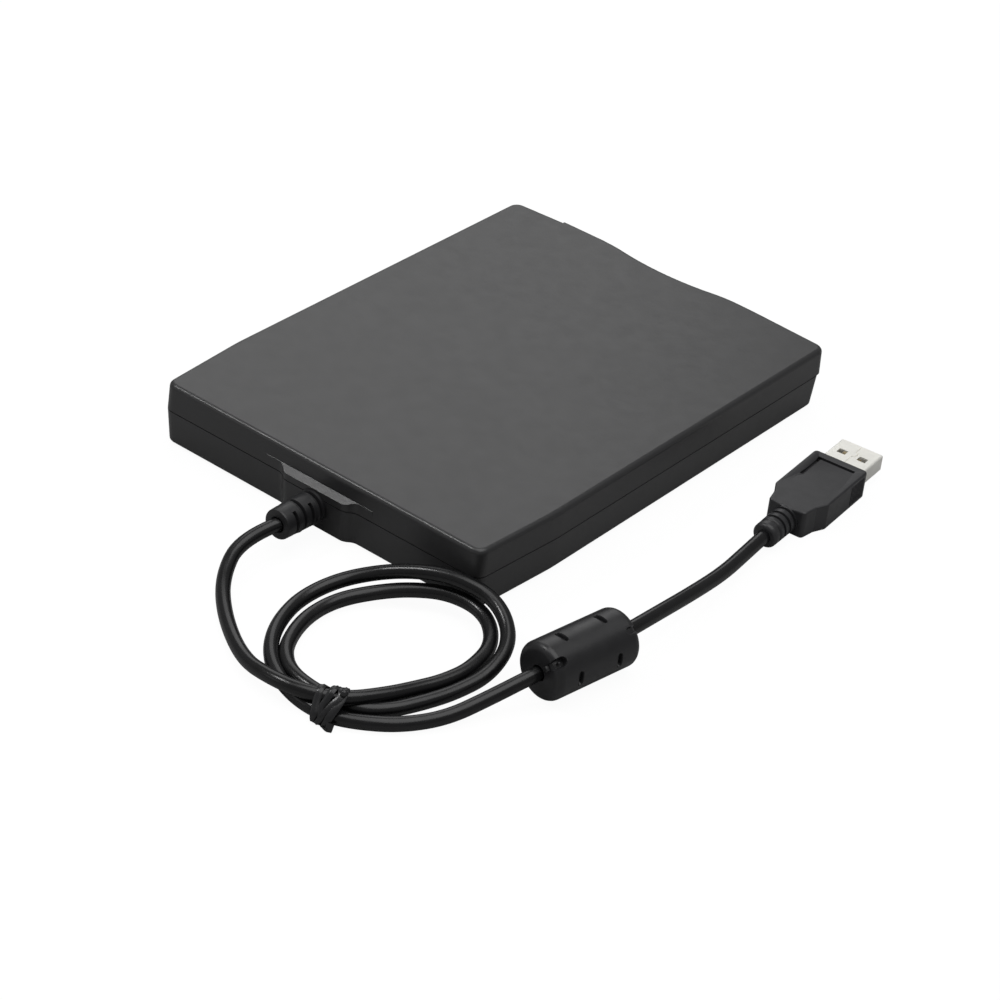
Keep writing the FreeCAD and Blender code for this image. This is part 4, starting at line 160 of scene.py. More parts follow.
# where each band's end is folded under: turn, place along, height off, and half thickness
TIE_ENDS = ((378, 3.3, 1.4, 0.9), (498, -2.2, 0.9, 0.7))
TIE_HALF_W = 0.85
TIE_CORE_T = 0.34  # half the thickness over the wire in the tie's middle
TIE_FLOOR = 0.02  # the lowest that any band reaches
# the band's section, in shares of its half width and of its core's half thickness
TIE_SECTION = (
    (-1.0, 0.1), (-0.85, 0.42), (-0.4, 0.5), (0.0, 1.0), (0.4, 0.5), (0.85, 0.42), (1.0, 0.1),
    (0.85, -0.35), (0.4, -0.5), (-0.4, -0.5), (-0.85, -0.35),
)

# ---- the lead screw's thread ----
SCREW_AT = (20.5, 28.4, 9.9)
SCREW_LEN = 19.2
SCREW_R = 1.2
SCREW_PITCH = 3.75
SCREW_THREAD_D = 0.28


# ---------------------------------------------------------------- settings
class CableSettings(bpy.types.PropertyGroup):
    diameter: bpy.props.FloatProperty(
        name="Cable diameter",
        description="Outside diameter of the jacket",
        default=3.6 * MM,
        unit="LENGTH",
    )
    jacket: bpy.props.FloatVectorProperty(
        name="Jacket",
        description="Colour of the cable's jacket",
        default=(0.006, 0.006, 0.0065),
        size=3,
        subtype="COLOR",
    )


class CaseSettings(bpy.types.PropertyGroup):
    shell: bpy.props.FloatVectorProperty(
        name="Case",
        description="Colour of the case's plastic",
        default=(0.030, 0.030, 0.031),
        size=3,
        subtype="COLOR",
    )
    trim: bpy.props.FloatVectorProperty(
        name="Trim",
        description="Colour of the bezel, door and button",
        default=(0.022, 0.022, 0.023),
        size=3,
        subtype="COLOR",
    )
    steel: bpy.props.FloatVectorProperty(
        name="Steel",
        description="Colour of the plated steel pieces",
        default=(0.58, 0.58, 0.56),
        size=3,
        subtype="COLOR",
    )


class StageSettings(bpy.types.PropertyGroup):
    lens: bpy.props.FloatProperty(
        name="Lens",
        description="Focal length in millimetres on a 36 mm wide frame",
        default=111.165,
    )
    roll: bpy.props.FloatProperty(
        name="Roll",
        description="How far the camera leans",
        default=math.radians(6.49),
        subtype="ANGLE",
    )
    sky: bpy.props.FloatProperty(
        name="Sky",
        description="Strength of the even light from all round",
        default=0.2,
    )
    lamp: bpy.props.FloatProperty(
        name="Lamp",
        description="Power of the large soft lamp overhead, in watts",
        default=10.5,
    )


# ---- finishes inside the case: nodes, name, colour, least and most roughness ----
METALS = (
    (
        "holder_pins flap_pin spindle_shaft hub drive_pin carriage_rods arm_pin",
        "ground_steel", (0.7, 0.7, 0.7), 0.14, 0.22,
    ),
    ("flap_spring lever_spring", "spring_steel", (0.5, 0.5, 0.5), 0.2, 0.3),
    ("spindle_bearing", "sintered_bronze", (0.45, 0.3, 0.13), 0.4, 0.55),
    ("upper_arm", "arm_alloy", (0.62, 0.63, 0.64), 0.4, 0.5),
)
PLAIN_FINISHES = (
    ("stator_core", "core_lacquer", (0.06, 0.06, 0.07), 0.35, 0.5),
    ("rotor_magnet", "bonded_magnet", (0.05, 0.045, 0.045), 0.6, 0.75),
    ("motor_board control_board interface_board", "solder_mask", (0.01, 0.09, 0.04), 0.25, 0.35),
    ("control_chips interface_chips", "chip_resin", (0.02, 0.02, 0.021), 0.45, 0.6),
    ("cable_header", "header_nylon", (0.75, 0.73, 0.68), 0.4, 0.5),
    ("lower_head upper_head", "head_ceramic", (0.6, 0.58, 0.53), 0.2, 0.3),
    ("flat_cable", "cable_film", (0.6, 0.55, 0.42), 0.25, 0.35),
    ("inner_leads", "lead_insulation", (0.45, 0.03, 0.03), 0.3, 0.45),
    ("head_carriage switch_bodies trigger_lever", "works_plastic", (0.03, 0.03, 0.03), 0.4, 0.5),
    (
        "disk_plunger protect_plunger density_plunger",
        "plunger_plastic", (0.7, 0.69, 0.65), 0.35, 0.45,
    ),
)

# ---- the stage: the camera's place and aim in millimetres, the lamps in metres ----
CAMERA_AT = (-394.6, 543.95, 419.44)
CAMERA_AIM = (-23.84, 27.54, 0.0)
TABLE_HALF = 3.0
TABLE_TONE = 0.36
TABLE_GLOW = 1.19  # what the camera sees of the table is mostly this even white
TABLE_GLOW_SHARE = 0.8
# each lamp: place, side, and share of the main lamp's power
LAMPS = {
    "lamp_top": ((-0.25, 0.0, 1.3), 1.3, 1.0),
    "lamp_front": ((0.84, -0.84, 0.84), 0.85, 0.25),
    "lamp_side": ((0.75, 1.0, 0.42), 0.4, 0.025),
    "lamp_rear": ((0.6, 0.44, 0.94), 0.2, 0.28),
}


# ---------------------------------------------------------------- materials
def new_material(name, color, roughness, metallic=0.0, specular=0.5):
    material = bpy.data.materials.new(name)
    material.use_nodes = True
    shader = material.node_tree.nodes["Principled BSDF"]
    shader.inputs["Base Color"].default_value = (*color, 1)
    shader.inputs["Roughness"].default_value = roughness
    shader.inputs["Metallic"].default_value = metallic
    shader.inputs["Specular IOR Level"].default_value = specular
    return material, material.node_tree, shader


def add_node(tree, kind, **inputs):
    node = tree.nodes.new(kind)
    for key, value in inputs.items():
        node.inputs[key.replace("_", " ")].default_value = value
    return node


def object_coordinates(tree):
    return tree.nodes.new("ShaderNodeTexCoord").outputs["Object"]


def grain_bump(tree, shader, scale, strength, distance, detail=3.0):
    """Fine moulded grain: a bump from noise `scale` cells per metre."""
    noise = add_node(tree, "ShaderNodeTexNoise", Scale=scale, Detail=detail, Roughness=0.6)
    tree.links.new(object_coordinates(tree), noise.inputs["Vector"])
    bump = add_node(tree, "ShaderNodeBump", Strength=strength, Distance=distance)
    tree.links.new(noise.outputs["Fac"], bump.inputs["Height"])
    tree.links.new(bump.outputs["Normal"], shader.inputs["Normal"])
    return bump


def vary_roughness(tree, shader, scale, low, high):
    """Roughness that wanders between two values, as handled plastic and metal do."""
    noise = add_node(tree, "ShaderNodeTexNoise", Scale=scale, Detail=4.0, Roughness=0.55)
    tree.links.new(object_coordinates(tree), noise.inputs["Vector"])
    spread = tree.nodes.new("ShaderNodeMapRange")
    spread.inputs["From Min"].default_value = 0.3
    spread.inputs["From Max"].default_value = 0.7
    spread.inputs["To Min"].default_value = low
    spread.inputs["To Max"].default_value = high
    tree.links.new(noise.outputs["Fac"], spread.inputs["Value"])
    tree.links.new(spread.outputs["Result"], shader.inputs["Roughness"])


def vary_color(tree, shader, color, other, scale, vector=None):
    """A colour that drifts between two close tones."""
    noise = add_node(tree, "ShaderNodeTexNoise", Scale=scale, Detail=3.0, Roughness=0.5)
    tree.links.new(vector or object_coordinates(tree), noise.inputs["Vector"])
    ramp = tree.nodes.new("ShaderNodeValToRGB")
    ramp.color_ramp.elements[0].position = 0.35
    ramp.color_ramp.elements[1].position = 0.65
    ramp.color_ramp.elements[0].color = (*color, 1)
    ramp.color_ramp.elements[1].color = (*other, 1)
    tree.links.new(noise.outputs["Fac"], ramp.inputs["Fac"])
    tree.links.new(ramp.outputs["Color"], shader.inputs["Base Color"])


def tone(color, factor):
    return tuple(min(1.0, c * factor) for c in color)


def case_plastic():
    color = bpy.context.scene.drive_case.shell
    material, tree, shader = new_material("case_plastic", color, 0.4, specular=0.5)
    vary_color(tree, shader, color, tone(color, 1.04), 160.0)
    vary_roughness(tree, shader, 260.0, 0.3, 0.35)
    grain_bump(tree, shader, 4200.0, 0.16, 0.00006)
    return material


def trim_plastic():
    color = bpy.context.scene.drive_case.trim
    material, tree, shader = new_material("trim_plastic", color, 0.4, specular=0.5)
    vary_color(tree, shader, color, tone(color, 1.1), 120.0)
    vary_roughness(tree, shader, 300.0, 0.36, 0.44)
    grain_bump(tree, shader, 5200.0, 0.12, 0.00005)
    return material


def moulded_vinyl(name, roughness_low, roughness_high, depth=2.5):
    """Soft moulded vinyl of the relief, the bead and the plug, depth times the jacket's colour; the
    plug's larger depth holds painted sheen.
    """
    color = bpy.context.scene.drive_cable.jacket
    material, tree, shader = new_material(name, tone(color, depth), 0.4, specular=0.5)
    vary_color(tree, shader, tone(color, depth), tone(color, depth * 1.15), 150.0)
    vary_roughness(tree, shader, 400.0, roughness_low, roughness_high)
    grain_bump(tree, shader, 3000.0, 0.1, 0.00008)
    return material


def cable_vinyl():
    color = bpy.context.scene.drive_cable.jacket
    material, tree, shader = new_material("cable_vinyl", color, 0.3, specular=0.45)
    vary_color(tree, shader, color, tone(color, 1.4), 200.0)
    vary_roughness(tree, shader, 350.0, 0.22, 0.3)
    grain_bump(tree, shader, 900.0, 0.1, 0.0001)
    return material


def plated_steel(name, color, low, high, metallic=1.0, grain=0.08):
    material, tree, shader = new_material(name, color, 0.35, metallic=metallic)
    vary_color(tree, shader, color, tone(color, 0.9), 70.0)
    vary_roughness(tree, shader, 500.0, low, high)
    grain_bump(tree, shader, 2600.0, grain, 0.00005)
    return material


def plain_finish(name, color, low, high, metallic=0.0, grain=0.08):
    material, tree, shader = new_material(name, color, (low + high) / 2, metallic=metallic)
    vary_color(tree, shader, color, tone(color, 1.12), 160.0)
    vary_roughness(tree, shader, 420.0, low, high)
    grain_bump(tree, shader, 3200.0, grain, 0.00005)
    return material


def clear_lens():
    material, tree, shader = new_material("clear_lens", (0.45, 0.8, 0.5), 0.12)
    shader.inputs["Transmission Weight"].default_value = 0.7
    vary_roughness(tree, shader, 300.0, 0.08, 0.16)
    return material


def wound_copper():
    """Enamelled wire lying in turns round each tooth."""
    material, tree, shader = new_material("wound_copper", (0.5, 0.2, 0.07), 0.3, metallic=0.9)
    wave = add_node(tree, "ShaderNodeTexWave", Scale=900.0, Distortion=0.4)
    wave.bands_direction = "Z"
    tree.links.new(object_coordinates(tree), wave.inputs["Vector"])
    bump = add_node(tree, "ShaderNodeBump", Strength=0.5, Distance=0.0001)
    tree.links.new(wave.outputs["Fac"], bump.inputs["Height"])
    tree.links.new(bump.outputs["Normal"], shader.inputs["Normal"])
    return material


def give(node_names, material):
    for name in node_names.split():
        mesh = NODES[name].data
        mesh.materials.clear()
        mesh.materials.append(material)


# ---------------------------------------------------------------- pieces
def add_object(name, data, body):
    piece = bpy.data.objects.new(name, data)
    bpy.context.scene.collection.objects.link(piece)
    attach(piece, body)
    return piece


def smooth_mesh(name, bm, degrees=30.0):
    """A mesh from a bmesh: faces outward, smooth shading, sharp only across real edges."""
    bmesh.ops.recalc_face_normals(bm, faces=bm.faces)
    mesh = bpy.data.meshes.new(name)
    bm.to_mesh(mesh)
    bm.free()
    mesh.shade_smooth()
    mesh.set_sharp_from_angle(angle=math.radians(degrees))
    return mesh


def skin(bm, at, along, aside, rings, angles, carve=None):
    """A closed skin round an axis, from rings of (distance along, radius), angles up to aside."""
    along, aside = Vector(along).normalized(), Vector(aside).normalized()
    up = aside.cross(along)
    rows = []
    for s, radius in rings:
        row = []
        for degrees in angles:
            reach = carve(s, degrees, radius) if carve else radius
            turn = math.radians(degrees)
            place = Vector(at) + along * s + (up * math.cos(turn) + aside * math.sin(turn)) * reach
            row.append(bm.verts.new(place * MM))
        rows.append(row)
    count = len(angles)
    for a, b in zip(rows, rows[1:]):
        for j in range(count):
            k = (j + 1) % count
            bm.faces.new((a[j], a[k], b[k], b[j]))
    bm.faces.new(rows[0])
    bm.faces.new(rows[-1])


def sweep(bm, places, sections):
    """A closed skin through sections: each is a list of points, given round its place."""
    rows = []
    for place, section in zip(places, sections):
        rows.append([bm.verts.new((place + point) * MM) for point in section])
    count = len(rows[0])
    for a, b in zip(rows, rows[1:]):
        for j in range(count):
            k = (j + 1) % count
            bm.faces.new((a[j], a[k], b[k], b[j]))
    bm.faces.new(rows[0])
    bm.faces.new(rows[-1])


def block(bm, x0, x1, y0, y1, z0, z1):
    size = Vector((x1 - x0, y1 - y0, z1 - z0)) * MM
    middle = Vector((x0 + x1, y0 + y1, z0 + z1)) * (MM / 2)
    place = Matrix.Translation(middle) @ Matrix.Diagonal((*size, 1))
    return bmesh.ops.create_cube(bm, size=1.0, matrix=place)["verts"]


def round_edges(bm, edges, radius, segments=3):
    offset = radius * MM
    bmesh.ops.bevel(bm, geom=edges, offset=offset, segments=segments, profile=0.5, affect="EDGES")


def edges_of(verts):
    return list({edge for vert in verts for edge in vert.link_edges})


def edges_along(bm, axis, share=0.99):
    """The straight edges that run along one axis."""
    found = []
    for edge in bm.edges:
        way = edge.verts[1].co - edge.verts[0].co
        if way.length and abs(way[axis]) > share * way.length:
            found.append(edge)
    return found


def cut_away(name, bm, cutter, degrees=30.0):
    """The first shape with the second taken out of it."""
    body = bpy.data.objects.new(name, smooth_mesh(name, bm))
    tool = bpy.data.objects.new(name + "_tool", smooth_mesh(name + "_tool", cutter))
    for part in (body, tool):
        bpy.context.scene.collection.objects.link(part)
    cut = body.modifiers.new("cut", "BOOLEAN")
    cut.operation = "DIFFERENCE"
    cut.solver = "EXACT"
    cut.use_self = True
    cut.object = tool
    graph = bpy.context.evaluated_depsgraph_get()
    mesh = bpy.data.meshes.new_from_object(body.evaluated_get(graph))
    for part in (body, tool):
        old = part.data
        bpy.data.objects.remove(part)
        bpy.data.meshes.remove(old)
    mesh.shade_smooth()
    mesh.set_sharp_from_angle(angle=math.radians(degrees))
    return flat_faces(name, mesh)


def flat_faces(name, mesh):
    """The same mesh shaded so that its large faces look flat and its roundings soft."""
    holder = bpy.data.objects.new(name, mesh)
    bpy.context.scene.collection.objects.link(holder)
    weights = holder.modifiers.new("weights", "WEIGHTED_NORMAL")
    weights.weight = 100
    weights.keep_sharp = True
    graph = bpy.context.evaluated_depsgraph_get()
    shaded = bpy.data.meshes.new_from_object(holder.evaluated_get(graph))
    bpy.data.objects.remove(holder)
    bpy.data.meshes.remove(mesh)
    shaded.name = name
    return shaded


def fine_steps(low, high, coarse, fine, zones):
    """Places from low to high, close together inside the zones."""
    places = [low]
    while places[-1] < high - 1e-6:
        here = places[-1]
        near = any(a - coarse < here < b for a, b in zones)
        inside = any(a - fine < here < b for a, b in zones)
        step = fine if inside else coarse
        if near and not inside:
            step = min([a - here for a, b in zones if a > here] + [coarse])
            step = max(step, fine)
        places.append(min(high, here + step))
    return places


def angle_gap(a, b):
    return (a - b + 180.0) % 360.0 - 180.0


def ramp(value, low, high):
    """0 below low, 1 above high, and a smooth rise between."""
    t = min(1.0, max(0.0, (value - low) / (high - low)))
    return t * t * (3 - 2 * t)


def cable_route():
    """Every point of the cable, in metres."""
    points = LEAD_POINTS + INNER_TURN_POINTS + OUTER_TURN_POINTS + TAIL_POINTS + PLUG_RUN_POINTS
    low = bpy.context.scene.drive_cable.diameter / 2
    return [(x * MM, y * MM, max(z * MM, low)) for x, y, z in points]


def spline_curve(name, points, diameter):
    curve = bpy.data.curves.new(name, "CURVE")
    curve.dimensions = "3D"
    spline = curve.splines.new("NURBS")
    spline.points.add(len(points) - 1)
    for point, place in zip(spline.points, points):
        point.co = (*place, 1)
    spline.order_u = 3
    spline.use_endpoint_u = True
    spline.resolution_u = 10
    curve.bevel_depth = diameter / 2
    curve.bevel_resolution = 7
    curve.use_fill_caps = True
    return curve


class DRIVE_OT_stage(bpy.types.Operator):
    """Set the camera, the table, the lamps and the sky"""

    bl_idname = "drive.stage"
    bl_label = "Stage"

    def execute(self, context):
        settings = context.scene.drive_stage
        context.scene.view_settings.view_transform = "Standard"
        self.add_camera(context, settings)
        self.add_table()
        self.add_lamps(context, settings)
        self.add_sky(context, settings)
        return {"FINISHED"}

    def add_camera(self, context, settings):
        camera = bpy.data.cameras.new("camera")
        camera.lens = settings.lens
        camera.sensor_width = 36.0
        camera.clip_start = 0.01
        camera.clip_end = 50.0
        holder = bpy.data.objects.new("camera", camera)
        context.scene.collection.objects.link(holder)
        at = Vector(CAMERA_AT) * MM
        look = (Vector(CAMERA_AIM) * MM - at).to_track_quat("-Z", "Y").to_matrix().to_4x4()
        holder.matrix_world = Matrix.Translation(at) @ look @ Matrix.Rotation(settings.roll, 4, "Z")
        context.scene.camera = holder

    def add_table(self):
        size = TABLE_HALF
        corners = [(-size, -size, 0), (size, -size, 0), (size, size, 0), (-size, size, 0)]
        mesh = bpy.data.meshes.new("table")
        mesh.from_pydata(corners, [], [(0, 1, 2, 3)])
        table = bpy.data.objects.new("table", mesh)
        bpy.context.scene.collection.objects.link(table)
        material = bpy.data.materials.new("table_white")
        material.use_nodes = True
        tree = material.node_tree
        shader = tree.nodes["Principled BSDF"]
        shader.inputs["Base Color"].default_value = (TABLE_TONE, TABLE_TONE, TABLE_TONE, 1)
        shader.inputs["Roughness"].default_value = 0.9
        shader.inputs["Specular IOR Level"].default_value = 0.1
        glow = add_node(tree, "ShaderNodeEmission", Strength=TABLE_GLOW)
        mix = tree.nodes.new("ShaderNodeMixShader")
        light_path = tree.nodes.new("ShaderNodeLightPath")
        amount = tree.nodes.new("ShaderNodeMath")
        amount.operation = "MULTIPLY"
        amount.inputs[1].default_value = TABLE_GLOW_SHARE
        tree.links.new(light_path.outputs["Is Camera Ray"], amount.inputs[0])
        tree.links.new(amount.outputs["Value"], mix.inputs["Fac"])
        tree.links.new(shader.outputs["BSDF"], mix.inputs[1])
        tree.links.new(glow.outputs["Emission"], mix.inputs[2])
        tree.links.new(mix.outputs["Shader"], tree.nodes["Material Output"].inputs["Surface"])
        mesh.materials.append(material)

    def add_lamps(self, context, settings):
        for name, (at, size, share) in LAMPS.items():
            lamp = bpy.data.lights.new(name, "AREA")
            lamp.shape = "SQUARE"
            lamp.size = size
            lamp.energy = settings.lamp * share
            holder = bpy.data.objects.new(name, lamp)
            context.scene.collection.objects.link(holder)
            holder.location = at
            holder.rotation_euler = (-Vector(at)).to_track_quat("-Z", "Y").to_euler()

    def add_sky(self, context, settings):
        world = bpy.data.worlds.new("sky")
        context.scene.world = world
        world.use_nodes = True
        tree = world.node_tree
        dim = tree.nodes["Background"]
        dim.inputs["Color"].default_value = (1, 1, 1, 1)
        dim.inputs["Strength"].default_value = settings.sky
        white = add_node(tree, "ShaderNodeBackground", Strength=1.0)
        light_path = tree.nodes.new("ShaderNodeLightPath")
        seen = tree.nodes.new("ShaderNodeMath")
        seen.operation = "MAXIMUM"
        tree.links.new(light_path.outputs["Is Camera Ray"], seen.inputs[0])
        tree.links.new(light_path.outputs["Is Transmission Ray"], seen.inputs[1])
        mix = tree.nodes.new("ShaderNodeMixShader")
        tree.links.new(seen.outputs["Value"], mix.inputs["Fac"])
        tree.links.new(dim.outputs["Background"], mix.inputs[1])
        tree.links.new(white.outputs["Background"], mix.inputs[2])
        tree.links.new(mix.outputs["Shader"], tree.nodes["World Output"].inputs["Surface"])


class DRIVE_OT_cable(bpy.types.Operator):
    """Lay the cable from the relief through two turns and the bead to the plug"""

    bl_idname = "drive.cable"
    bl_label = "Cable"

    def execute(self, context):
        settings = context.scene.drive_cable
        route = cable_route()
        curve = spline_curve("cable", route, settings.diameter)
        curve.materials.append(cable_vinyl())
        cable = add_object("cable", curve, "case")
        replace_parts(cable, "cord_lead", "cord_coil", "cord_tail", "cord_plug_run")
        return {"FINISHED"}


def relief_carve(s, degrees, radius):
    """The grooves, each with a thin raised lip on its outer side."""
    depth = 0.0
    lip = 0.0
    for start, width, whole in RELIEF_GROOVES:
        end = start + width
        inside = ramp(s, start - RELIEF_EDGE, start + RELIEF_EDGE)
        inside *= 1 - ramp(s, end - RELIEF_EDGE, end + RELIEF_EDGE)
        if not whole:
            top = min(abs(angle_gap(degrees, 0.0)), abs(angle_gap(degrees, 180.0)))
            inside *= ramp(top, RELIEF_BRIDGE - 2.0, RELIEF_BRIDGE + 2.0)
        depth = max(depth, inside * RELIEF_GROOVE_D)
        if whole:
            lip = max(lip, RELIEF_LIP * (1 - ramp(abs(s - end - 0.2), 0.06, 0.2)))
    return radius - depth + lip if radius > RELIEF_R - 1.0 else radius


def relief_mesh():
    """The ribbed sleeve, which tapers a little to its free end and the mouth for the cable."""
    axis = Vector(RELIEF_TIP) - Vector(RELIEF_AT)
    length = axis.length
    root = RELIEF_R + 0.32
    rings = [(-0.5, 3.4), (0.0, 3.4), (0.0, root - 0.12), (0.12, root)]
    zones = [(groove[0] - 0.15, groove[0] + groove[1] + 0.45) for groove in RELIEF_GROOVES]
    for s in fine_steps(0.3, length - 0.6, 0.5, 0.06, zones):
        rings.append((s, root - 0.38 * s / length))
    tip = RELIEF_R - 0.06
    rings += [(length - 0.3, tip), (length - 0.08, tip - 0.08), (length, tip - 0.32)]
    rings += [(length, 2.15), (length - 0.15, 1.95), (length - 2.0, 1.9)]
    bm = bmesh.new()
    skin(bm, RELIEF_AT, axis, (1, 0, 0), rings, fine_angles(), relief_carve)
    return smooth_mesh("relief", bm, 35.0)


def fine_angles():
    """Angles round a relief, close together where its side grooves end."""
    bridge = RELIEF_BRIDGE
    zones = [(a - 3.0, a + 3.0) for a in (bridge, 180 - bridge, 180 + bridge, 360 - bridge)]
    return fine_steps(0.0, 359.0, 5.0, 1.0, zones)


def bead_carve(s, degrees, radius):
    """The slots, the window in the rim of the rear end, and the pocket near the other end."""
    if radius < BEAD_R - BEAD_ROUND:
        return radius
    depth = 0.0
    half, width = BEAD_SLOT_HALF, BEAD_SLOT_W
    for place, turn in BEAD_SLOTS:
        arc = abs(math.radians(angle_gap(degrees, turn)) * BEAD_R)
        off = math.hypot(max(0.0, arc - half + width / 2), s - place)
        depth = max(depth, BEAD_SLOT_D * (1 - ramp(off, width / 2 - 0.06, width / 2 + 0.1)))
    arc = math.radians(angle_gap(degrees, BEAD_SEAM)) * BEAD_R
    end, half, deep = BEAD_WINDOW
    depth = max(depth, deep * (1 - ramp(math.hypot(arc, max(0.0, s - end)), half, half + 0.2)))
    start, half, deep = BEAD_POCKET
    depth = max(depth, deep * (1 - ramp(math.hypot(arc, min(0.0, s - start)), half, half + 0.25)))
    return radius - depth


def bead_mesh():
    """The bead with both ends rounded, a hole for the cable, and its nib and post."""
    zones = [(place - 0.95, place + 0.95) for place, turn in BEAD_SLOTS[:2]]
    zones += [(1.8, 3.6), (21.8, 23.7)]
    mouth = [(1.5, 1.8), (0.15, 1.85), (0.0, 2.0)]
    rings = mouth + [(0.0, BEAD_R - BEAD_ROUND)]
    arc = 6
    turns = [math.radians(90.0 * i / arc) for i in range(1, arc + 1)]
    for turn in turns[:-1]:
        fall = BEAD_ROUND * (1 - math.sin(turn))
        rings.append((BEAD_ROUND * (1 - math.cos(turn)), BEAD_R - fall))
    for s in fine_steps(BEAD_ROUND, BEAD_LEN - BEAD_ROUND, 0.8, 0.12, zones):
        rings.append((s, BEAD_R))
    for turn in turns:
        fall = BEAD_ROUND * (1 - math.cos(turn))
        rings.append((BEAD_LEN - BEAD_ROUND * (1 - math.sin(turn)), BEAD_R - fall))
    rings += [(BEAD_LEN - s, radius) for s, radius in reversed(mouth)]
    spread = [(turn - 17.0, turn + 17.0) for turn in (356.0, BEAD_SEAM, 90.0)] + [(0.0, 13.0)]
    turned = Matrix.Rotation(BEAD_YAW, 3, "Z")
    along, aside = turned @ Vector((0, -1, 0)), turned @ Vector((-1, 0, 0))
    bm = bmesh.new()
    skin(bm, BEAD_AT, along, aside, rings, fine_steps(0.0, 359.0, 5.0, 1.0, spread), bead_carve)
    seam = math.radians(BEAD_SEAM)
    out = Vector((0, 0, 1)) * math.cos(seam) + aside * math.sin(seam)
    across = out.cross(along)
    for reach, back, size in BEAD_POSTS:
        middle = Vector(BEAD_AT) + out * reach + along * back
        rows = Matrix((across, along, out)).transposed().to_4x4()
        place = Matrix.Translation(middle * MM) @ rows @ Matrix.Diagonal((*(Vector(size) * MM), 1))
        made = bmesh.ops.create_cube(bm, size=1.0, matrix=place)["verts"]
        round_edges(bm, edges_of(made), 0.15, 2)
    return smooth_mesh("bead", bm, 40.0)


def plug_place():
    return Matrix.Translation(Vector(PLUG_AT) * MM) @ Matrix.Rotation(PLUG_YAW, 4, "Z")


def grip_mesh():
    """Fine upright ribs on both sides of the plug near its front."""
    bm = bmesh.new()
    dx, dy = GRIP_HALF
    for side in (-1, 1):
        for i in range(GRIP_COUNT):
            y = GRIP_AT + GRIP_PITCH * i
            x = side * (PLUG_HALF - 0.02)
            made = block(bm, x - dx, x + dx, y - dy, y + dy, GRIP_END, PLUG_T - GRIP_END)
            round_edges(bm, edges_of(made), 0.1, 2)
    bm.transform(plug_place())
    return smooth_mesh("plug_grips", bm)


def plug_mesh():
    """The plug's body, with the two-armed groove in its top cut to its full depth."""
    body = bmesh.new()
    body.from_mesh(NODES["plug_overmould"].data)
    tool = bmesh.new()
    half, width, low = PLUG_MARK_HALF, PLUG_MARK_W, PLUG_T - PLUG_MARK_D
    y = PLUG_MARK_AT
    block(tool, -half, half, y, y + width, low, PLUG_T + 1)
    block(tool, half - width, half, y, y + PLUG_MARK_L, low - 0.05, PLUG_T + 1.1)
    tool.transform(plug_place())
    return cut_away("plug_body", body, tool)


def shell_mesh():
    """The folded metal shell: a rounded tube, four windows, and the seam with its tail on top."""
    low, high = (PLUG_T - SHELL_H) / 2, (PLUG_T + SHELL_H) / 2
    outer = bmesh.new()
    block(outer, -SHELL_W / 2, SHELL_W / 2, -SHELL_OUT, SHELL_IN, low, high)
    round_edges(outer, edges_along(outer, 1), 0.5, 4)
    tool = bmesh.new()
    wall = SHELL_WALL
    half, deep = SHELL_W / 2 - wall, SHELL_H / 2 - wall
    middle = PLUG_T / 2
    block(tool, -half, half, -SHELL_OUT - 1, SHELL_IN + 1, middle - deep, middle + deep)
    round_edges(tool, edges_along(tool, 1), 0.25, 3)
    for x in (-SHELL_WINDOW_X, SHELL_WINDOW_X):
        x0, x1 = x - SHELL_WINDOW_HALF, x + SHELL_WINDOW_HALF
        block(tool, x0, x1, *SHELL_WINDOW_Y, -1.0, PLUG_T + 1)
    cut_seam(tool, high)
    outer.transform(plug_place())
    tool.transform(plug_place())
    return cut_away("plug_case", outer, tool)


def cut_seam(tool, high):
    """Adds the seam to the shell's cutter, one straight slot for each of its runs."""
    for (x0, y0), (x1, y1) in zip(SEAM, SEAM[1:]):
        a, b = Vector((x0, y0, 0)), Vector((x1, y1, 0))
        way = (b - a).normalized()
        side = Vector((-way.y, way.x, 0)) * SEAM_HALF_W
        a, b = a - way * 0.05, b + way * 0.05
        corners = [a - side, b - side, b + side, a + side]
        floor = [tool.verts.new((c + Vector((0, 0, high - SEAM_D))) * MM) for c in corners]
        roof = [tool.verts.new((c + Vector((0, 0, high + 0.5))) * MM) for c in corners]
        tool.faces.new(floor)
        tool.faces.new(roof)
        for i in range(4):
            k = (i + 1) % 4
            tool.faces.new((floor[i], floor[k], roof[k], roof[i]))


# ---- the tie ----
def strand_points(cable):
    """Points read from the cable's own spline, in millimetres."""
    bare = cable.data.copy()
    bare.bevel_depth = 0.0
    line = bpy.data.objects.new("line", bare)
    bpy.context.scene.collection.objects.link(line)
    graph = bpy.context.evaluated_depsgraph_get()
    mesh = bpy.data.meshes.new_from_object(line.evaluated_get(graph))
    points = [vert.co / MM for vert in mesh.vertices]
    bpy.data.objects.remove(line)
    bpy.data.curves.remove(bare)
    bpy.data.meshes.remove(mesh)
    return points


def bundle_outline(points, radius):
    """Where the strands cross the tie's plane, and the outline drawn tight round them."""
    along = Vector(TIE_ALONG).normalized()
    front = Vector((along.y, -along.x, 0))
    spots = []
    for a, b in zip(points, points[1:]):
        da, db = (a - Vector(TIE_AT)).dot(along), (b - Vector(TIE_AT)).dot(along)
        if da * db <= 0 and da != db and (a - Vector(TIE_AT)).length < 12.0:
            middle = a.lerp(b, da / (da - db))
            spots.append(((middle - Vector(TIE_AT)).dot(front), middle.z))
    rim = []
    for u, z in spots:
        for i in range(36):
            turn = math.radians(10 * i)
            rim.append(Vector((u + radius * math.cos(turn), z + radius * math.sin(turn))))
    order = geometry.convex_hull_2d(rim)
    return [rim[i] for i in order], along, front


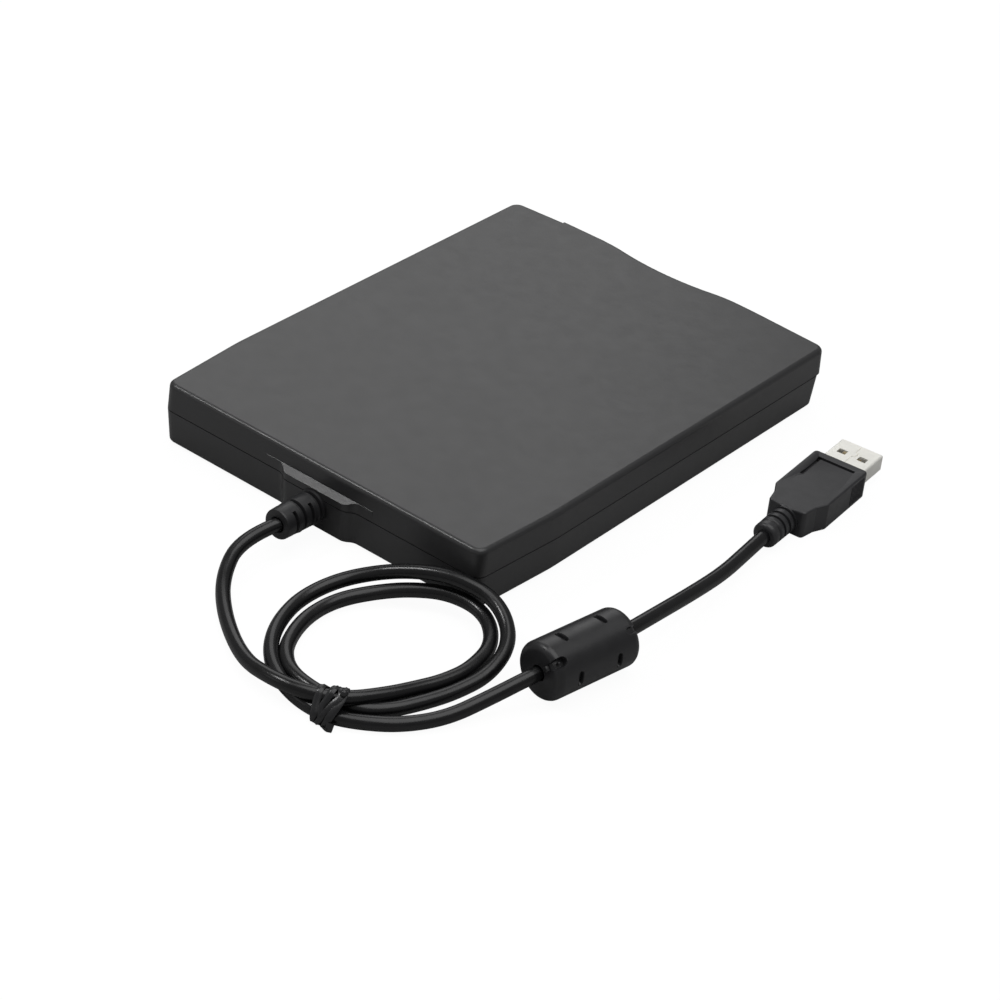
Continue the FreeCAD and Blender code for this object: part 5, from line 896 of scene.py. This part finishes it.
def outline_reach(outline, middle, way):
    """How far the outline is from its middle in one direction."""
    best = 0.0
    for a, b in zip(outline, outline[1:] + outline[:1]):
        hit = geometry.intersect_line_line_2d(middle, middle + way * 30.0, a, b)
        if hit:
            best = max(best, (hit - middle).length)
    return best


def smooth_path(points, steps):
    """A curve through the points, as a list with a few steps between each two."""
    path = []
    last = len(points) - 1
    for i in range(last):
        p0, p1 = points[max(i - 1, 0)], points[i]
        p2, p3 = points[i + 1], points[min(i + 2, last)]
        for j in range(steps):
            t = j / steps
            rise = (p2 - p0) * t
            rise += (2 * p0 - 5 * p1 + 4 * p2 - p3) * t**2
            rise += (3 * p1 - p0 - 3 * p2 + p3) * t**3
            path.append(p1 + rise / 2)
    return path + [points[-1]]


def tie_mesh(cable):
    radius = bpy.context.scene.drive_cable.diameter / MM / 2
    outline, along, front = bundle_outline(strand_points(cable), radius + TIE_CORE_T)
    middle = sum(outline, Vector((0, 0))) / len(outline)
    bm = bmesh.new()

    def spot(turn, off, lift):
        way = Vector((math.sin(math.radians(turn)), math.cos(math.radians(turn))))
        u, z = middle + way * (outline_reach(outline, middle, way) + lift)
        out = front * way.x + Vector((0, 0, way.y))
        z = max(z, TIE_CORE_T)
        return Vector(TIE_AT) + front * u + Vector((0, 0, z)) + along * off, out

    for band in TIE_BANDS:
        path = smooth_path([Vector(point) for point in band], 8)
        places = [spot(*point) for point in path]
        sections = []
        for i, (place, out) in enumerate(places):
            ahead = places[min(i + 1, len(places) - 1)][0] - places[max(i - 1, 0)][0]
            side = ahead.cross(out).normalized()
            top = side.cross(ahead).normalized()
            section = []
            for wide, high in TIE_SECTION:
                section.append(side * (wide * TIE_HALF_W) + top * (high * TIE_CORE_T))
            sections.append(section)
        sweep(bm, [place for place, out in places], sections)
    for turn, off, lift, size in TIE_ENDS:
        place, out = spot(turn, off, lift)
        moved = Matrix.Translation(place * MM)
        bmesh.ops.create_icosphere(bm, subdivisions=3, radius=size * MM, matrix=moved)
    for vert in bm.verts:
        vert.co.z = max(vert.co.z, TIE_FLOOR * MM)
    return smooth_mesh("tie", bm, 60.0)


class DRIVE_OT_mouldings(bpy.types.Operator):
    """Build and finish the relief, the bead, the tie and the plug"""

    bl_idname = "drive.mouldings"
    bl_label = "Relief, bead, tie and plug"

    def execute(self, context):
        cable = context.scene.objects["cable"]
        vinyl = moulded_vinyl("moulding_vinyl", 0.3, 0.42)
        relief_vinyl = moulded_vinyl("relief_vinyl", 0.34, 0.46)
        tie_vinyl = moulded_vinyl("tie_vinyl", 0.26, 0.36)
        # the plug's vinyl is lighter than the other mouldings': the extra lightness is painted
        # sheen, the front lamp's reflection on its top
        plug_vinyl_and_sheen = moulded_vinyl("plug_vinyl_and_sheen", 0.34, 0.44, 4.0)
        shell_plate = plated_steel("plug_nickel", (1.0, 0.99, 0.93), 0.3, 0.38, 0.25, 0.01)
        for mesh, node, slot_name, material in (
            (relief_mesh(), "strain_relief", "black_trim", relief_vinyl),
            (bead_mesh(), "ferrite_bead", "black_trim", vinyl),
            (tie_mesh(cable), "twist_tie", "cable_jacket", tie_vinyl),
            (shell_mesh(), "plug_shell", "plug_metal", shell_plate),
            (plug_mesh(), "plug_overmould", "black_trim", plug_vinyl_and_sheen),
        ):
            mesh.materials.clear()
            mesh.materials.append(material)
            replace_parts(add_object(mesh.name, mesh, "case"), node)
        grips = grip_mesh()
        grips.materials.append(plug_vinyl_and_sheen)
        add_object("plug_grips", grips, "case")
        give("plug_insert", plain_finish("plug_tongue", (0.75, 0.74, 0.7), 0.3, 0.4))
        # the contacts' colour is gold dulled and greyed: partly the plating's own colour, partly
        # painted shade where they sit inside the shell
        give("plug_contacts", plated_steel("contact_gold_and_shade", (0.7, 0.58, 0.36), 0.15, 0.25))
        self.declare_cord(context, cable)
        return {"FINISHED"}

    def declare_cord(self, context, cable):
        pieces = ["relief", "bead", "tie"]
        pieces += ["plug_case", "plug_grips", "plug_body", "plug_insert", "plug_contacts"]


class DRIVE_OT_case(bpy.types.Operator):
    """Finish the case, the bezel, the door, the button and the feet"""

    bl_idname = "drive.case"
    bl_label = "Case"

    def execute(self, context):
        give("upper_shell lower_shell", case_plastic())
        give("front_bezel slot_flap eject_button", trim_plastic())
        give("rubber_feet", plain_finish("foot_rubber", (0.02, 0.02, 0.02), 0.6, 0.75, grain=0.2))
        give("activity_light", clear_lens())
        screw_steel = plated_steel("screw_steel", (0.2, 0.2, 0.21), 0.25, 0.35)
        give("case_screws chassis_screws", screw_steel)
        return {"FINISHED"}


def screw_mesh():
    """The lead screw: a plain journal, a ground shaft, and one long-pitch groove cut round it."""
    steps = int(SCREW_LEN / SCREW_PITCH * 24)
    rings = [(-2.4, 0.8), (-2.3, 0.9), (0.0, 0.9), (0.0, SCREW_R - 0.1), (0.1, SCREW_R)]
    rings += [(0.4 + (SCREW_LEN - 0.5) * i / steps, SCREW_R) for i in range(steps + 1)]
    rings += [(SCREW_LEN + 0.3, SCREW_R), (SCREW_LEN + 1.8, SCREW_R)]

    def thread(s, degrees, radius):
        if s < 1.0 or s > SCREW_LEN - 0.6:
            return radius
        share = (s / SCREW_PITCH * 2 - degrees / 180.0) % 1.0
        return radius - SCREW_THREAD_D * (1 - ramp(abs(share - 0.5), 0.1, 0.26))

    bm = bmesh.new()
    skin(bm, SCREW_AT, (0, 1, 0), (1, 0, 0), rings, [10 * i for i in range(36)], thread)
    return smooth_mesh("thread", bm, 45.0)


class DRIVE_OT_works(bpy.types.Operator):
    """Finish the pieces inside the case"""

    bl_idname = "drive.works"
    bl_label = "Works"

    def execute(self, context):
        steel = context.scene.drive_case.steel
        plated = plated_steel("zinc_plate", steel, 0.3, 0.42)
        give("chassis disc_holder slide_plate rotor rod_clamps", plated)
        give("screw_bearing stepper_motor lever_pivot", plated)
        metals = {}
        for node_names, name, color, low, high in METALS:
            metals[name] = plated_steel(name, color, low, high)
            give(node_names, metals[name])
        for node_names, name, color, low, high in PLAIN_FINISHES:
            give(node_names, plain_finish(name, color, low, high))
        give("stator_coils", wound_copper())
        thread = screw_mesh()
        thread.materials.append(metals["ground_steel"])
        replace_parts(add_object("thread", thread, "screw"), "lead_screw")
        self.add_slide_springs(metals["spring_steel"])
        return {"FINISHED"}

    def add_slide_springs(self, material):
        """The slide plate's two springs as a piece of their own in spring steel, left at the length
        they have in the model, though the real ones shorten as the plate moves to the front.
        """
        mesh = NODES["slide_springs"].data.copy()
        mesh.materials.clear()
        mesh.materials.append(material)
        springs = add_object("springs", mesh, "case")
        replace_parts(springs, "slide_springs")
        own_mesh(springs)


class DRIVE_PT_panel(bpy.types.Panel):
    bl_label = "Disk Drive"
    bl_idname = "DRIVE_PT_panel"
    bl_space_type = "VIEW_3D"
    bl_region_type = "UI"
    bl_category = "Disk Drive"

    def draw(self, context):
        column = self.layout.column()
        for operator in OPERATORS:
            column.operator(operator.bl_idname)


OPERATORS = (DRIVE_OT_stage, DRIVE_OT_cable, DRIVE_OT_mouldings, DRIVE_OT_case, DRIVE_OT_works)
SETTINGS = {"drive_cable": CableSettings, "drive_case": CaseSettings, "drive_stage": StageSettings}


def register():
    for settings in SETTINGS.values():
        bpy.utils.register_class(settings)
    for operator in OPERATORS:
        bpy.utils.register_class(operator)
    bpy.utils.register_class(DRIVE_PT_panel)
    for name, settings in SETTINGS.items():
        setattr(bpy.types.Scene, name, bpy.props.PointerProperty(type=settings))


def unregister():
    for name in SETTINGS:
        delattr(bpy.types.Scene, name)
    bpy.utils.unregister_class(DRIVE_PT_panel)
    for operator in reversed(OPERATORS):
        bpy.utils.unregister_class(operator)
    for settings in SETTINGS.values():
        bpy.utils.unregister_class(settings)


def main():
    register()
    bpy.ops.drive.stage()
    bpy.ops.drive.cable()
    bpy.ops.drive.mouldings()
    bpy.ops.drive.case()
    bpy.ops.drive.works()


if __name__ == "__main__":
    main()
